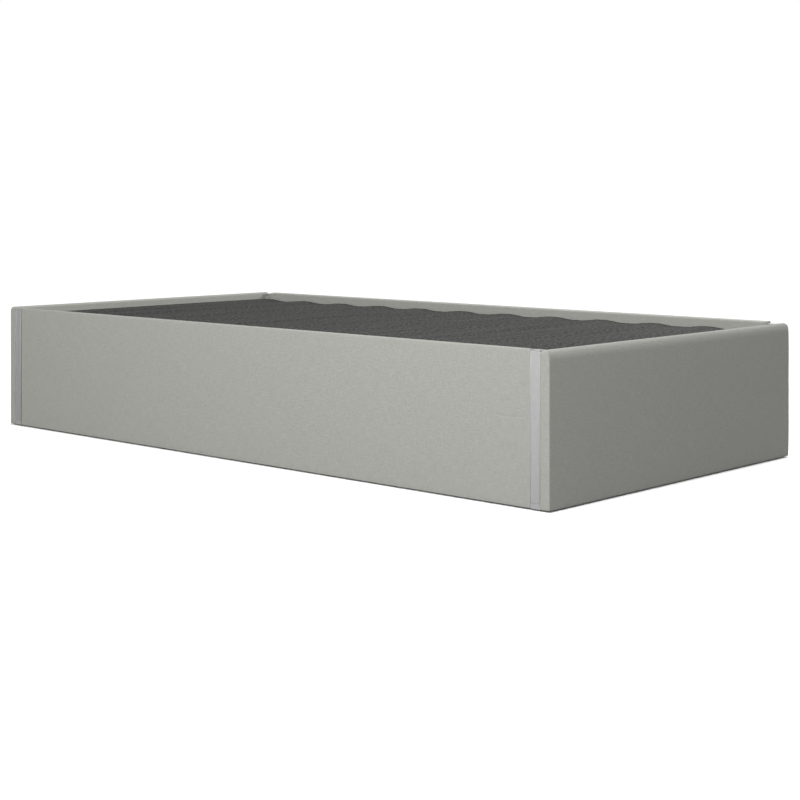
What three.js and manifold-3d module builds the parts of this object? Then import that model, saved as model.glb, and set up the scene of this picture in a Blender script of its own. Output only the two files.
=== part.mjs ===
// Upholstered bed: a low box base of four padded panels, four aluminium corner posts on levelling feet,
// and a slatted insert with a felt pad and a stretched cover that drops in from above.
// Millimetres, +Z up. The origin is on the floor under the middle of the bed. +Y points to the head end,
// +X to the right-hand side as seen from the foot end.

import * as THREE from "three";
import { mergeVertices } from "three/addons/utils/BufferGeometryUtils.js";
import Module from "manifold-3d";

const wasm = await Module();
wasm.setup();

// The whole bed
const overallWidth = 1056;
const overallLength = 2074;
const overallHeight = 362;
const floorGap = 3; // from the floor to the panels and posts
const fitGap = 0.3; // between two pieces that touch
const cutOverrun = 5; // how far a cutting shape runs past what it cuts

// Panels: fabric, foam, board and fabric again, from the outer face inwards
const fabricThickness = 1;
const foamThickness = 7.1;
const boardThickness = 16;
const topFoamThickness = 3; // foam over the upper edge of the board
const endFoamThickness = 3; // foam round the ends of the foot and head boards
const crownDrop = 1.5; // how far the top falls from its crown to the inner edge
const outerTopRadius = 9;
const innerTopRadius = 3;
const outerBottomRadius = 4;
const endCornerRadius = 5; // upright corners of the foot and head panels
const topReturn = 60; // fabric turned down behind the top edge
const bottomReturn = 25; // fabric turned up behind the bottom edge
const arcSteps = 4; // straight runs in a quarter circle

// Corner posts, seen in plan: depth across the bed, width along it
const postInset = 0.5; // the post stands this far behind the fabric
const postWidth = 27.5;
const postSeam = 0.5; // open joint on either side of a post
const postWall = 2.2;
const postCornerRadius = 1.2;
const postDrop = 4.5; // from the top of the panels to the top of the post
const capHeadThickness = 2.5;
const capTenonLength = 15;
const priseSlotWidth = 19;
const priseSlotHeight = 3.5;
const priseSlotDepth = 5; // into the cap, behind the wall of the post
const plugHeadHeight = 13.5;
const plugTenonLength = 26;

// Levelling feet
const footDiameter = 20;
const footThickness = 4;
const footEdge = 0.8; // chamfer of the sole
const footPlay = 0.6; // round the sole inside its recess
const footStemDiameter = 8;
const footStemLength = 34;
const threadPlay = 0.4; // round a stem or a bolt in its hole
const roundSteps = 16; // sides of a turned piece

// Corner brackets and their bolts
const bracketThickness = 3;
const bracketBottom = 62;
const bracketHeight = 160;
const bracketEndLeg = 60; // along the foot or head board
const bracketSideLeg = 60; // along the side board, past the post
const bracketBendRadius = 2; // inside the bend
const boltInset = 30; // from the bracket's upper or lower edge to a bolt
const boltHeadDiameter = 15;
const boltHeadHeight = 4.5;
const boltShankDiameter = 8;
const boltGrip = 12; // length of thread inside the board
const boltCrownShare = 0.7; // width of the head's flat crown against the head

// Bearers: steel angle on the side boards
const bearerLeg = 30;
const bearerThickness = 3;
const bearerEndSpace = 12; // from the end of a bearer to the corner bracket

// Slatted insert
const insertSidePlay = 3; // to the side panels
const insertEndPlay = 3; // to the foot and head panels
const crestDrop = 20; // from the panels' top to the crests of the cover
const sagDepth = 6; // how far the cover sags between two slats
const sagSteps = 8; // straight runs in one sag
const baseCoverThickness = 1.2;
const feltThickness = 8;
const slatCount = 12;
const slatWidth = 50;
const slatThickness = 16;
const slatEdgeRadius = 4;
const slatArcSteps = 2;
const endSlatInset = 31.75; // from the end of the insert to the middle of its last slat
const slatProud = 7; // how far a slat stands above the side rails
const railWidth = 24;
const railHeight = 60;
const railShoulder = 4; // wood left outside the end of a slat
const slatEndPlay = 0.5;
const hemHeight = 8; // from the bottom of the rails to the cover's hem

// Places that follow from the sizes above
const halfWidth = overallWidth / 2;
const halfLength = overallLength / 2;
const foamFront = fabricThickness + fitGap;
const boardFront = foamFront + foamThickness + fitGap;
const boardBack = boardFront + boardThickness;
const panelThickness = boardBack + fitGap + fabricThickness;
const boardBottom = floorGap + fabricThickness + fitGap;
const boardTop = overallHeight - foamFront - topFoamThickness - fitGap;
const endBoardHalf = halfWidth - foamFront - endFoamThickness - fitGap;

const postBack = boardBack + fitGap; // depth of the post's inner face behind the fabric
const postDepth = postBack - postInset;
const postNear = panelThickness + postSeam; // from the end of the bed to the post
const postFar = postNear + postWidth;
const sidePanelHalf = halfLength - postFar - postSeam;
const postAxisDepth = postInset + postDepth / 2;
const postAxisAlong = postNear + postWidth / 2;
const postTop = overallHeight - postDrop;
const tubeTop = postTop - capHeadThickness;
const plugTop = floorGap + plugHeadHeight;
const tubeBottom = plugTop + fitGap;

const coverHalfWidth = halfWidth - panelThickness - insertSidePlay;
const coverHalfLength = halfLength - panelThickness - insertEndPlay;
const coverCrest = overallHeight - crestDrop;
const feltHalfWidth = coverHalfWidth - baseCoverThickness - fitGap;
const feltHalfLength = coverHalfLength - baseCoverThickness - fitGap;
const feltCrest = coverCrest - baseCoverThickness - fitGap;
const slatTop = feltCrest - feltThickness - fitGap;
const slatBottom = slatTop - slatThickness;
const slatSpan = coverHalfLength - endSlatInset;
const slatPitch = (2 * slatSpan) / (slatCount - 1);
const slatFlat = slatWidth / 2 - slatEdgeRadius; // half the level stretch over a slat
const slatHalfLength = feltHalfWidth - railShoulder - slatEndPlay;
const railTop = slatTop - slatProud;
const railBottom = railTop - railHeight;
const railInside = feltHalfWidth - railWidth;
const bearerTop = railBottom - fitGap;
const bracketSideTip = postFar + bracketSideLeg; // from the end of the bed to the bracket's far edge
const bearerHalf = halfLength - bracketSideTip - bearerEndSpace;

// Finishes
const finishes = {
  upholstery: { color: 0xa6a7a1, roughness: 0.95, metalness: 0 },
  foam: { color: 0xd9d3bd, roughness: 1, metalness: 0 },
  board: { color: 0xb59b74, roughness: 0.85, metalness: 0 },
  aluminium: { color: 0xbdbcbb, roughness: 0.38, metalness: 1 },
  capPlastic: { color: 0xa3a3a2, roughness: 0.5, metalness: 0 },
  footPlastic: { color: 0x1d1d1e, roughness: 0.6, metalness: 0 },
  zincSteel: { color: 0xb4b8bb, roughness: 0.35, metalness: 1 },
  blackSteel: { color: 0x26282a, roughness: 0.55, metalness: 0.6 },
  softwood: { color: 0xcdb083, roughness: 0.7, metalness: 0 },
  beech: { color: 0xc9a173, roughness: 0.6, metalness: 0 },
  felt: { color: 0x8d8d8b, roughness: 1, metalness: 0 },
  charcoal: { color: 0x555556, roughness: 0.95, metalness: 0 },
};

const bed = new THREE.Group();
bed.name = "upholstered_bed";

// Adds a named mesh with a material of its own to a group.
function addMesh(group, name, geometry, finish) {
  const mesh = new THREE.Mesh(geometry, new THREE.MeshStandardMaterial(finishes[finish]));
  mesh.name = name;
  group.add(mesh);
  return mesh;
}

// Solids

// A closed geometry as a solid that can be joined and cut.
function solidOf(geometry) {
  const bare = geometry.clone();
  bare.deleteAttribute("normal");
  bare.deleteAttribute("uv");
  const merged = mergeVertices(bare);
  const triVerts = new Uint32Array(merged.index.array);
  const vertProperties = merged.attributes.position.array;
  return new wasm.Manifold(new wasm.Mesh({ numProp: 3, vertProperties, triVerts }));
}

// A solid as a geometry with flat faces.
function geometryOf(solid) {
  const mesh = solid.getMesh();
  const indexed = new THREE.BufferGeometry();
  indexed.setAttribute("position", new THREE.BufferAttribute(mesh.vertProperties, mesh.numProp));
  indexed.setIndex(new THREE.BufferAttribute(mesh.triVerts, 1));
  const flat = indexed.toNonIndexed();
  flat.computeVertexNormals();
  return flat;
}

// Points on an arc about a centre, angles in degrees from the first axis towards the second.
function arc(centre, radius, fromAngle, toAngle, steps = arcSteps) {
  const points = [];
  for (let i = 0; i <= steps; i += 1) {
    const angle = THREE.MathUtils.degToRad(fromAngle + ((toAngle - fromAngle) * i) / steps);
    points.push([centre[0] + radius * Math.cos(angle), centre[1] + radius * Math.sin(angle)]);
  }
  return points;
}

// A rectangle from its low and high corners, with all its corners round.
function roundedRectangle([lowA, lowB], [highA, highB], radius, steps = arcSteps) {
  return [
    ...arc([lowA + radius, lowB + radius], radius, 180, 270, steps),
    ...arc([highA - radius, lowB + radius], radius, 270, 360, steps),
    ...arc([highA - radius, highB - radius], radius, 0, 90, steps),
    ...arc([lowA + radius, highB - radius], radius, 90, 180, steps),
  ];
}

// An outline carried straight along one axis, from one place on it to another. The outline's points are
// [y, z] along "x", [x, z] along "y" and [x, y] along "z". A hole, if there is one, goes right through.
function prism(outline, axis, from, to, hole = null) {
  const shape = new THREE.Shape(outline.map(([a, b]) => new THREE.Vector2(a, b)));
  if (hole) {
    shape.holes.push(new THREE.Path(hole.map(([a, b]) => new THREE.Vector2(a, b))));
  }
  const geometry = new THREE.ExtrudeGeometry(shape, { depth: to - from, bevelEnabled: false });
  if (axis === "x") {
    const turn = new THREE.Matrix4().makeBasis(
      new THREE.Vector3(0, 1, 0),
      new THREE.Vector3(0, 0, 1),
      new THREE.Vector3(1, 0, 0),
    );
    return geometry.applyMatrix4(turn).translate(from, 0, 0);
  }
  if (axis === "y") {
    return geometry.rotateX(Math.PI / 2).translate(0, to, 0);
  }
  return geometry.translate(0, 0, from);
}

// A box from its low corner to its high corner.
function box([x0, y0, z0], [x1, y1, z1]) {
  const geometry = new THREE.BoxGeometry(x1 - x0, y1 - y0, z1 - z0);
  return geometry.translate((x0 + x1) / 2, (y0 + y1) / 2, (z0 + z1) / 2);
}

// A round bar or hole that stands on a place [x, y, z] and runs up by a length.
function upright([x, y, z], diameter, length) {
  const radius = diameter / 2;
  const geometry = new THREE.CylinderGeometry(radius, radius, length, roundSteps);
  return geometry.rotateX(Math.PI / 2).translate(x, y, z + length / 2);
}

// Panels. Each is drawn lying along X, with its outer face at y = 0 and its inner face at y = thickness.

// The section of a panel, every face moved inwards by an inset: [depth, height] points.
// The top rises over the rounded outer edge to a crown and falls gently to the inner edge.
function panelSection(inset) {
  const innerEdge = [panelThickness - innerTopRadius, overallHeight - crownDrop - innerTopRadius];
  return [
    [panelThickness - inset, floorGap + inset],
    ...arc(innerEdge, innerTopRadius - inset, 0, 90),
    ...arc([outerTopRadius, overallHeight - outerTopRadius], outerTopRadius - inset, 90, 180),
    ...arc([outerBottomRadius, floorGap + outerBottomRadius], outerBottomRadius - inset, 180, 270),
  ];
}

// A panel's whole body, every face moved inwards by an inset. A panel with finished ends has round corners
// there; an open-ended one is cut off square and runs past its ends by the overrun.
function panelBody(half, inset, finishedEnds, overrun = 0) {
  const reach = half - (finishedEnds ? inset : -overrun);
  const body = solidOf(prism(panelSection(inset), "x", -reach, reach));
  if (!finishedEnds) {
    return body;
  }
  const top = overallHeight;
  const upperCorner = half - outerTopRadius;
  const lowerCorner = half - outerBottomRadius;
  const front = [
    ...arc([upperCorner, top - outerTopRadius], outerTopRadius - inset, 0, 90),
    ...arc([-upperCorner, top - outerTopRadius], outerTopRadius - inset, 90, 180),
    ...arc([-lowerCorner, floorGap + outerBottomRadius], outerBottomRadius - inset, 180, 270),
    ...arc([lowerCorner, floorGap + outerBottomRadius], outerBottomRadius - inset, 270, 360),
  ];
  const sideCorner = half - endCornerRadius;
  const plan = [
    ...arc([-sideCorner, endCornerRadius], endCornerRadius - inset, 180, 270),
    ...arc([sideCorner, endCornerRadius], endCornerRadius - inset, 270, 360),
    [half - inset, panelThickness + cutOverrun],
    [-half + inset, panelThickness + cutOverrun],
  ];
  return body
    .intersect(solidOf(prism(front, "y", -cutOverrun, panelThickness + cutOverrun)))
    .intersect(solidOf(prism(plan, "z", -cutOverrun, top + cutOverrun)));
}

// The fabric: a skin round the panel, turned in behind it on every edge that shows.
function panelCover(half, finishedEnds) {
  const skin = panelBody(half, 0, finishedEnds).subtract(
    panelBody(half, fabricThickness, finishedEnds, cutOverrun),
  );
  const windowHalf = finishedEnds ? halfWidth - postBack : half + cutOverrun;
  const window = box(
    [-windowHalf, boardBack, floorGap + bottomReturn],
    [windowHalf, panelThickness + cutOverrun, overallHeight - topReturn],
  );
  return skin.subtract(solidOf(window));
}

// The foam: a sheet on the outer face that also covers the board's top edge and, where they show, its ends.
function panelFoam(half, finishedEnds) {
  const boardRoom = finishedEnds ? endBoardHalf + fitGap : half + cutOverrun;
  const room = box(
    [-boardRoom, boardFront - fitGap, -cutOverrun],
    [boardRoom, panelThickness + cutOverrun, boardTop + fitGap],
  );
  return panelBody(half, foamFront, finishedEnds, 0).subtract(solidOf(room));
}

// The places of a bracket's two bolts, as heights.
const boltHeights = [bracketBottom + boltInset, bracketBottom + bracketHeight - boltInset];
// How far a bolt stands from the side of the bed: the middle of the bracket's shorter leg.
const boltDepth = postBack + fitGap + bracketThickness + bracketEndLeg / 2;

// The board, with blind holes for the bracket bolts where it is a foot or head board.
function panelBoard(half, drilled) {
  let board = solidOf(box([-half, boardFront, boardBottom], [half, boardBack, boardTop]));
  if (drilled) {
    for (const side of [-1, 1]) {
      for (const height of boltHeights) {
        const hole = upright([0, 0, 0], boltShankDiameter + threadPlay * 2, boltGrip + cutOverrun * 2);
        hole.rotateX(-Math.PI / 2).translate(side * (halfWidth - boltDepth), 0, height);
        hole.translate(0, boardBack - boltGrip - threadPlay, 0);
        board = board.subtract(solidOf(hole));
      }
    }
  }
  return board;
}

// One panel of the box, turned to face outwards.
function addPanel(name, position, turn, half, finishedEnds) {
  const panel = new THREE.Group();
  panel.position.set(...position);
  panel.rotation.z = turn;
  bed.add(panel);
  const boardHalf = finishedEnds ? endBoardHalf : half;
  addMesh(panel, `${name}_board`, geometryOf(panelBoard(boardHalf, finishedEnds)), "board");
  addMesh(panel, `${name}_foam`, geometryOf(panelFoam(half, finishedEnds)), "foam");
  addMesh(panel, `${name}_cover`, geometryOf(panelCover(half, finishedEnds)), "upholstery");
}

addPanel("foot", [0, -halfLength, 0], 0, halfWidth, true);
addPanel("head", [0, halfLength, 0], Math.PI, halfWidth, true);
addPanel("left", [-halfWidth, 0, 0], -Math.PI / 2, sidePanelHalf, false);
addPanel("right", [halfWidth, 0, 0], Math.PI / 2, sidePanelHalf, false);

// Corners. A corner is drawn in [depth, along]: how far in from the side and from the end of the bed.

// The rectangle of a post, every face moved inwards by an inset.
function postRectangle(corner, inset, radius = 0) {
  const low = corner.place([postInset + inset, postNear + inset]);
  const high = corner.place([postBack - inset, postFar - inset]);
  const lowest = [Math.min(low[0], high[0]), Math.min(low[1], high[1])];
  const highest = [Math.max(low[0], high[0]), Math.max(low[1], high[1])];
  if (radius === 0) {
    return [lowest, [highest[0], lowest[1]], highest, [lowest[0], highest[1]]];
  }
  return roundedRectangle(lowest, highest, radius);
}

// The room for prising the cap off: a slot in the post's inner wall, under the head of the cap.
function priseSlot(corner, depth) {
  const [x0, y0] = corner.place([postBack + cutOverrun, postAxisAlong - priseSlotWidth / 2]);
  const [x1, y1] = corner.place([postBack - depth, postAxisAlong + priseSlotWidth / 2]);
  const low = [Math.min(x0, x1), Math.min(y0, y1), tubeTop - priseSlotHeight];
  const high = [Math.max(x0, x1), Math.max(y0, y1), tubeTop + fitGap];
  return solidOf(box(low, high));
}

// The post: a rectangular tube with a slot at its top.
function cornerPost(corner) {
  const outline = postRectangle(corner, 0, postCornerRadius);
  const hollow = postRectangle(corner, postWall);
  const tube = solidOf(prism(outline, "z", tubeBottom, tubeTop - fitGap, hollow));
  return tube.subtract(priseSlot(corner, postWall + fitGap));
}

// The cap: a thin head over the post and a tenon inside it, hollowed behind the slot.
function postCap(corner) {
  const head = solidOf(prism(postRectangle(corner, 0, postCornerRadius), "z", tubeTop, postTop));
  const tenonOutline = postRectangle(corner, postWall + fitGap);
  const tenon = prism(tenonOutline, "z", tubeTop - capTenonLength, postTop - capHeadThickness / 2);
  const slot = priseSlot(corner, postWall + priseSlotDepth);
  return solidOf(tenon).subtract(slot).add(head);
}

// The plug: a head under the post with a recess for the foot, a tenon inside the post and a bore through
// both.
function postPlug(corner) {
  const [x, y] = corner.place([postAxisDepth, postAxisAlong]);
  const head = solidOf(prism(postRectangle(corner, 0, postCornerRadius), "z", floorGap, plugTop));
  const tenonOutline = postRectangle(corner, postWall + fitGap);
  const tenonTop = plugTop + plugTenonLength;
  const tenon = solidOf(prism(tenonOutline, "z", plugTop - plugHeadHeight / 2, tenonTop));
  const recessHeight = footThickness + fitGap - floorGap;
  const recess = upright(
    [x, y, floorGap - cutOverrun],
    footDiameter + footPlay * 2,
    recessHeight + cutOverrun,
  );
  const bore = upright([x, y, 0], footStemDiameter + threadPlay * 2, tenonTop + cutOverrun);
  return head.add(tenon).subtract(solidOf(recess)).subtract(solidOf(bore));
}

// The foot: a round sole with a threaded stem, turned about its own axis.
function levellingFoot(corner) {
  const [x, y] = corner.place([postAxisDepth, postAxisAlong]);
  const sole = footDiameter / 2;
  const stem = footStemDiameter / 2;
  const profile = [
    [0, 0],
    [sole - footEdge, 0],
    [sole, footEdge],
    [sole, footThickness - footEdge],
    [sole - footEdge, footThickness],
    [stem, footThickness],
    [stem, footThickness + footStemLength],
    [0, footThickness + footStemLength],
  ];
  const turned = new THREE.LatheGeometry(profile.map(([r, z]) => new THREE.Vector2(r, z)), roundSteps);
  return turned.rotateX(Math.PI / 2).translate(x, y, 0);
}

// The bracket: an upright steel angle that holds the end panel against the post and the side panel.
function cornerBracket(corner) {
  const near = postBack + fitGap; // face against the post and the side board
  const endFace = boardBack + fitGap; // face against the foot or head board
  const outerBend = bracketBendRadius + bracketThickness;
  const bendCentre = [near + outerBend, endFace + outerBend];
  const endTip = near + bracketThickness + bracketEndLeg;
  const outline = [
    ...arc(bendCentre, outerBend, 180, 270),
    [endTip, endFace],
    [endTip, endFace + bracketThickness],
    ...arc(bendCentre, bracketBendRadius, 270, 180),
    [near + bracketThickness, bracketSideTip],
    [near, bracketSideTip],
  ];
  let bracket = solidOf(
    prism(outline.map(corner.place), "z", bracketBottom, bracketBottom + bracketHeight),
  );
  const [x, y] = corner.place([boltDepth, endFace + bracketThickness / 2]);
  for (const height of boltHeights) {
    const hole = upright([0, 0, -cutOverrun], boltShankDiameter + threadPlay * 2, cutOverrun * 2);
    hole.rotateX(Math.PI / 2).translate(x, y, height);
    bracket = bracket.subtract(solidOf(hole));
  }
  return bracket;
}

// A bolt through the bracket into the foot or head board, turned about its own axis.
function bracketBolt(corner, height) {
  const head = boltHeadDiameter / 2;
  const shank = boltShankDiameter / 2;
  const seat = bracketThickness + fitGap * 2; // from the board to the underside of the head
  const profile = [
    [0, -boltGrip],
    [shank, -boltGrip],
    [shank, seat],
    [head, seat],
    [head, seat + boltHeadHeight / 2],
    [head * boltCrownShare, seat + boltHeadHeight],
    [0, seat + boltHeadHeight],
  ];
  const turned = new THREE.LatheGeometry(profile.map(([r, z]) => new THREE.Vector2(r, z)), roundSteps);
  const [x, y] = corner.place([boltDepth, boardBack]);
  if (corner.endSign > 0) {
    turned.rotateX(Math.PI);
  }
  return turned.translate(x, y, height);
}

const corners = [
  { name: "foot_left", sideSign: -1, endSign: -1 },
  { name: "foot_right", sideSign: 1, endSign: -1 },
  { name: "head_left", sideSign: -1, endSign: 1 },
  { name: "head_right", sideSign: 1, endSign: 1 },
];

for (const corner of corners) {
  corner.place = ([depth, along]) => [
    corner.sideSign * (halfWidth - depth),
    corner.endSign * (halfLength - along),
  ];
  addMesh(bed, `corner_post_${corner.name}`, geometryOf(cornerPost(corner)), "aluminium");
  addMesh(bed, `post_cap_${corner.name}`, geometryOf(postCap(corner)), "capPlastic");
  addMesh(bed, `post_plug_${corner.name}`, geometryOf(postPlug(corner)), "capPlastic");
  addMesh(bed, `levelling_foot_${corner.name}`, levellingFoot(corner), "footPlastic");
  addMesh(bed, `corner_bracket_${corner.name}`, geometryOf(cornerBracket(corner)), "zincSteel");
  ["lower", "upper"].forEach((level, i) => {
    const bolt = bracketBolt(corner, boltHeights[i]);
    addMesh(bed, `bracket_bolt_${corner.name}_${level}`, bolt, "zincSteel");
  });
}

// Bearers: a level leg carries the insert, an upright leg is screwed to the side board.
for (const [name, side] of [["left", -1], ["right", 1]]) {
  const outside = side * (halfWidth - boardBack - fitGap);
  const thick = side * bearerThickness;
  const leg = side * bearerLeg;
  const outline = [
    [outside, bearerTop],
    [outside - leg, bearerTop],
    [outside - leg, bearerTop - bearerThickness],
    [outside - thick, bearerTop - bearerThickness],
    [outside - thick, bearerTop - bearerLeg],
    [outside, bearerTop - bearerLeg],
  ];
  addMesh(bed, `bearer_${name}`, prism(outline, "y", -bearerHalf, bearerHalf), "blackSteel");
}

// The slatted insert

// Height of the cover's top at a place along the bed. It is level over each slat, and between two slats it
// sags by half a cosine wave on either side of the middle.
function coverHeight(along) {
  const nearest = Math.round((along + slatSpan) / slatPitch);
  const index = THREE.MathUtils.clamp(nearest, 0, slatCount - 1);
  const beyondFlat = Math.max(0, Math.abs(along + slatSpan - index * slatPitch) - slatFlat);
  const sagHalf = slatPitch / 2 - slatFlat;
  return coverCrest - (sagDepth * (1 - Math.cos((Math.PI * beyondFlat) / sagHalf))) / 2;
}

// Places along the bed where the wave has its points, between two ends.
function wavePlaces(half) {
  const places = [-half];
  for (let slat = 0; slat < slatCount; slat += 1) {
    const middle = -slatSpan + slat * slatPitch;
    places.push(middle - slatFlat, middle + slatFlat);
    const sagLength = slatPitch - 2 * slatFlat;
    for (let step = 1; step < sagSteps && slat < slatCount - 1; step += 1) {
      places.push(middle + slatFlat + (sagLength * step) / sagSteps);
    }
  }
  places.push(half);
  return places;
}

// The wave as [along, height] points, lowered by a drop.
function waveLine(half, drop) {
  return wavePlaces(half).map((along) => [along, coverHeight(along) - drop]);
}

// Side rail with a notch for each slat.
function slatRail(side) {
  const outline = [
    [side * railInside, railBottom],
    [side * feltHalfWidth, railBottom],
    [side * feltHalfWidth, railTop],
    [side * railInside, railTop],
  ];
  let rail = solidOf(prism(outline, "y", -feltHalfLength, feltHalfLength));
  for (let slat = 0; slat < slatCount; slat += 1) {
    const middle = -slatSpan + slat * slatPitch;
    const ends = [side * (railInside - cutOverrun), side * (slatHalfLength + slatEndPlay)];
    const notch = box(
      [Math.min(...ends), middle - slatWidth / 2 - slatEndPlay, slatBottom - fitGap],
      [Math.max(...ends), middle + slatWidth / 2 + slatEndPlay, railTop + cutOverrun],
    );
    rail = rail.subtract(solidOf(notch));
  }
  return rail;
}

addMesh(bed, "slat_rail_left", geometryOf(slatRail(-1)), "softwood");
addMesh(bed, "slat_rail_right", geometryOf(slatRail(1)), "softwood");

// End rails stand between the side rails, under the first and the last slat.
for (const [name, end] of [["foot", -1], ["head", 1]]) {
  const faces = [end * feltHalfLength, end * (feltHalfLength - railWidth)];
  const rail = box(
    [-railInside + fitGap, Math.min(...faces), railBottom],
    [railInside - fitGap, Math.max(...faces), slatBottom - fitGap],
  );
  addMesh(bed, `end_rail_${name}`, rail, "softwood");
}

for (let slat = 0; slat < slatCount; slat += 1) {
  const middle = -slatSpan + slat * slatPitch;
  const section = roundedRectangle(
    [middle - slatWidth / 2, slatBottom],
    [middle + slatWidth / 2, slatTop],
    slatEdgeRadius,
    slatArcSteps,
  );
  const name = `slat_${String(slat + 1).padStart(2, "0")}`;
  addMesh(bed, name, prism(section, "x", -slatHalfLength, slatHalfLength), "beech");
}

// Felt pad: even in thickness, it lies on the slats and sags between them.
const feltTopDrop = baseCoverThickness + fitGap;
const feltOutline = [
  ...waveLine(feltHalfLength, feltTopDrop),
  ...waveLine(feltHalfLength, feltTopDrop + feltThickness).reverse(),
];
addMesh(bed, "felt_pad", prism(feltOutline, "x", -feltHalfWidth, feltHalfWidth), "felt");

// Base cover: stretched over the felt, drawn down round the rails to a hem near their lower edge.
function coverBody(inset, bottom) {
  const half = coverHalfLength - inset;
  const outline = [...waveLine(half, inset), [half, bottom], [-half, bottom]];
  return solidOf(prism(outline, "x", -coverHalfWidth + inset, coverHalfWidth - inset));
}

const hem = railBottom + hemHeight;
const baseCover = coverBody(0, hem).subtract(coverBody(baseCoverThickness, hem - cutOverrun));
addMesh(bed, "base_cover", geometryOf(baseCover), "charcoal");

export default bed;
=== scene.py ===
"""Looks of a low upholstered bed base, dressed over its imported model.

Four padded panels in a warm-grey weave stand between aluminium corner posts. Inside lies a lift-out slatted
base with a felt pad and a stretched charcoal cover. Metres, +Z up, +Y to the head end, +X to the right.
"""

from __future__ import annotations

import logging
import math
from collections.abc import Sequence
from dataclasses import dataclass, field
from enum import Enum

import bmesh
import bpy
import numpy as np
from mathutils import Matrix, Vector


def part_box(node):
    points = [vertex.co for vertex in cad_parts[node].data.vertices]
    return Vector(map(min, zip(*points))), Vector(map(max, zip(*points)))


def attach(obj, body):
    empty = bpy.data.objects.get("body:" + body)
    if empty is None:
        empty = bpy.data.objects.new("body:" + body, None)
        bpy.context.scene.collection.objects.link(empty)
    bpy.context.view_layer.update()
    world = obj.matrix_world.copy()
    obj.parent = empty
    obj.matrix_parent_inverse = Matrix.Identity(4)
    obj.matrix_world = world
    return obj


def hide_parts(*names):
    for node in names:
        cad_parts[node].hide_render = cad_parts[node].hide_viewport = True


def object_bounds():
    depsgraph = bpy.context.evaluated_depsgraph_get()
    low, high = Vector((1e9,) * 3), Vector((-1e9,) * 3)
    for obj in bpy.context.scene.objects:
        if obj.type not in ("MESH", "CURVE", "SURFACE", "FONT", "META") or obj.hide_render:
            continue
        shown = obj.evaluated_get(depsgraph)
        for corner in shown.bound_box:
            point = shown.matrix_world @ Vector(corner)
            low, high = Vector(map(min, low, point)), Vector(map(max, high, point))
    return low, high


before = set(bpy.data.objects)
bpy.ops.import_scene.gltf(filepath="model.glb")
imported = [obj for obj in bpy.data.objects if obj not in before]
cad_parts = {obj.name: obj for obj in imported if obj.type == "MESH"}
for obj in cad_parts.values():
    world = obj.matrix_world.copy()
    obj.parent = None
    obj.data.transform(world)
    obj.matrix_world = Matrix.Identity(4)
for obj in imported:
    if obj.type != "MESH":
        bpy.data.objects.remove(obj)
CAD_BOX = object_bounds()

logging.basicConfig(level=logging.INFO, format="%(name)s: %(message)s")
LOG = logging.getLogger("bed")

Row = Sequence[float] | np.ndarray

MM = 0.001
CLOTH_MAP = "cloth"
MERGE_DISTANCE = 1e-6  # two points nearer than this are one
LINE_DIGITS = 7  # decimals of a metre that tell two grid lines apart
STEP_SLACK = 1e-6  # share of a step that a space between lines may be too wide
TINY = 1e-12  # keeps a division by a length of zero harmless
ROUND_SHARES = (0.0, 0.18, 0.4, 0.66, 1.0)  # grid lines over a round, as shares of its radius
RIPPLE_WAVES = 9
RIPPLE_SIZES = (0.7, 1.5)  # shortest and longest wave of a ripple, as shares of its usual length
NOISE_SPAN = {"From Min": 0.3, "From Max": 0.7}  # where nearly all of a noise's values lie
WAVE_LENGTH = 0.444  # distance from band to band of a diagonal wave over two axes, at a scale of 1
FLAT_ANGLE_DEG = 1.0  # triangles that meet flatter than this are one face
BEVEL_ANGLE_DEG = 35.0  # edges sharper than this are eased


# Arrays and meshes


def linear(colour: str) -> tuple[float, float, float, float]:
    """Turns an sRGB hex colour to linear values.

    Args:
        colour: six hex digits, such as "a0a1a2".

    Returns:
        Red, green, blue and an alpha of 1.
    """
    parts = [int(colour[i : i + 2], 16) / 255 for i in (0, 2, 4)]
    straight = [c / 12.92 if c <= 0.04045 else ((c + 0.055) / 1.055) ** 2.4 for c in parts]
    return (*straight, 1.0)


def ruled(low: float, high: float, step: float, offsets: Row = (), marks: Row = ()) -> np.ndarray:
    """Places of grid lines between two ends.

    Args:
        low: the first place.
        high: the last place.
        step: the widest space between two lines.
        offsets: distances from either end that get a line, for the rounds there.
        marks: further places that get a line.

    Returns:
        The places in rising order.
    """
    near = np.asarray(offsets, float)
    fixed = np.concatenate([[low, high], low + near, high - near, np.asarray(marks, float)])
    fixed = np.unique(np.round(fixed[(fixed >= low) & (fixed <= high)], LINE_DIGITS))
    runs = [
        np.linspace(a, b, math.ceil((b - a) / step - STEP_SLACK) + 1)[:-1]
        for a, b in zip(fixed[:-1], fixed[1:])
    ]
    return np.concatenate([*runs, fixed[-1:]])


def round_lines(radius: float) -> list[float]:
    """Offsets from an edge that draw a round of this radius with nearly even steps."""
    return [radius * share for share in ROUND_SHARES]


def rounded(
    first: np.ndarray, second: np.ndarray, radius: float, stretch: float = 1.0
) -> tuple[np.ndarray, np.ndarray]:
    """Rounds the corner between two faces of a section.

    A point within the radius of both faces has an offset from the round's centre. The offset keeps its
    direction and takes the larger of its two parts as its length, so the square about the centre
    becomes a circle, edge and inside alike. A stretch makes it an ellipse.

    Args:
        first: distances in from the first face.
        second: distances in from the second face.
        radius: the round's radius, measured from the first face.
        stretch: how many times farther the round reaches from the second face.

    Returns:
        The new distances from the two faces.
    """
    a, b = np.maximum(radius - first, 0.0), np.maximum(radius - second / stretch, 0.0)
    length = np.hypot(a, b)
    share = np.where((a > 0) & (b > 0), np.maximum(a, b) / np.maximum(length, TINY), 1.0)
    from_first = np.where(a > 0, radius - a * share, first)
    from_second = np.where(b > 0, (radius - b * share) * stretch, second)
    return from_first, from_second


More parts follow.
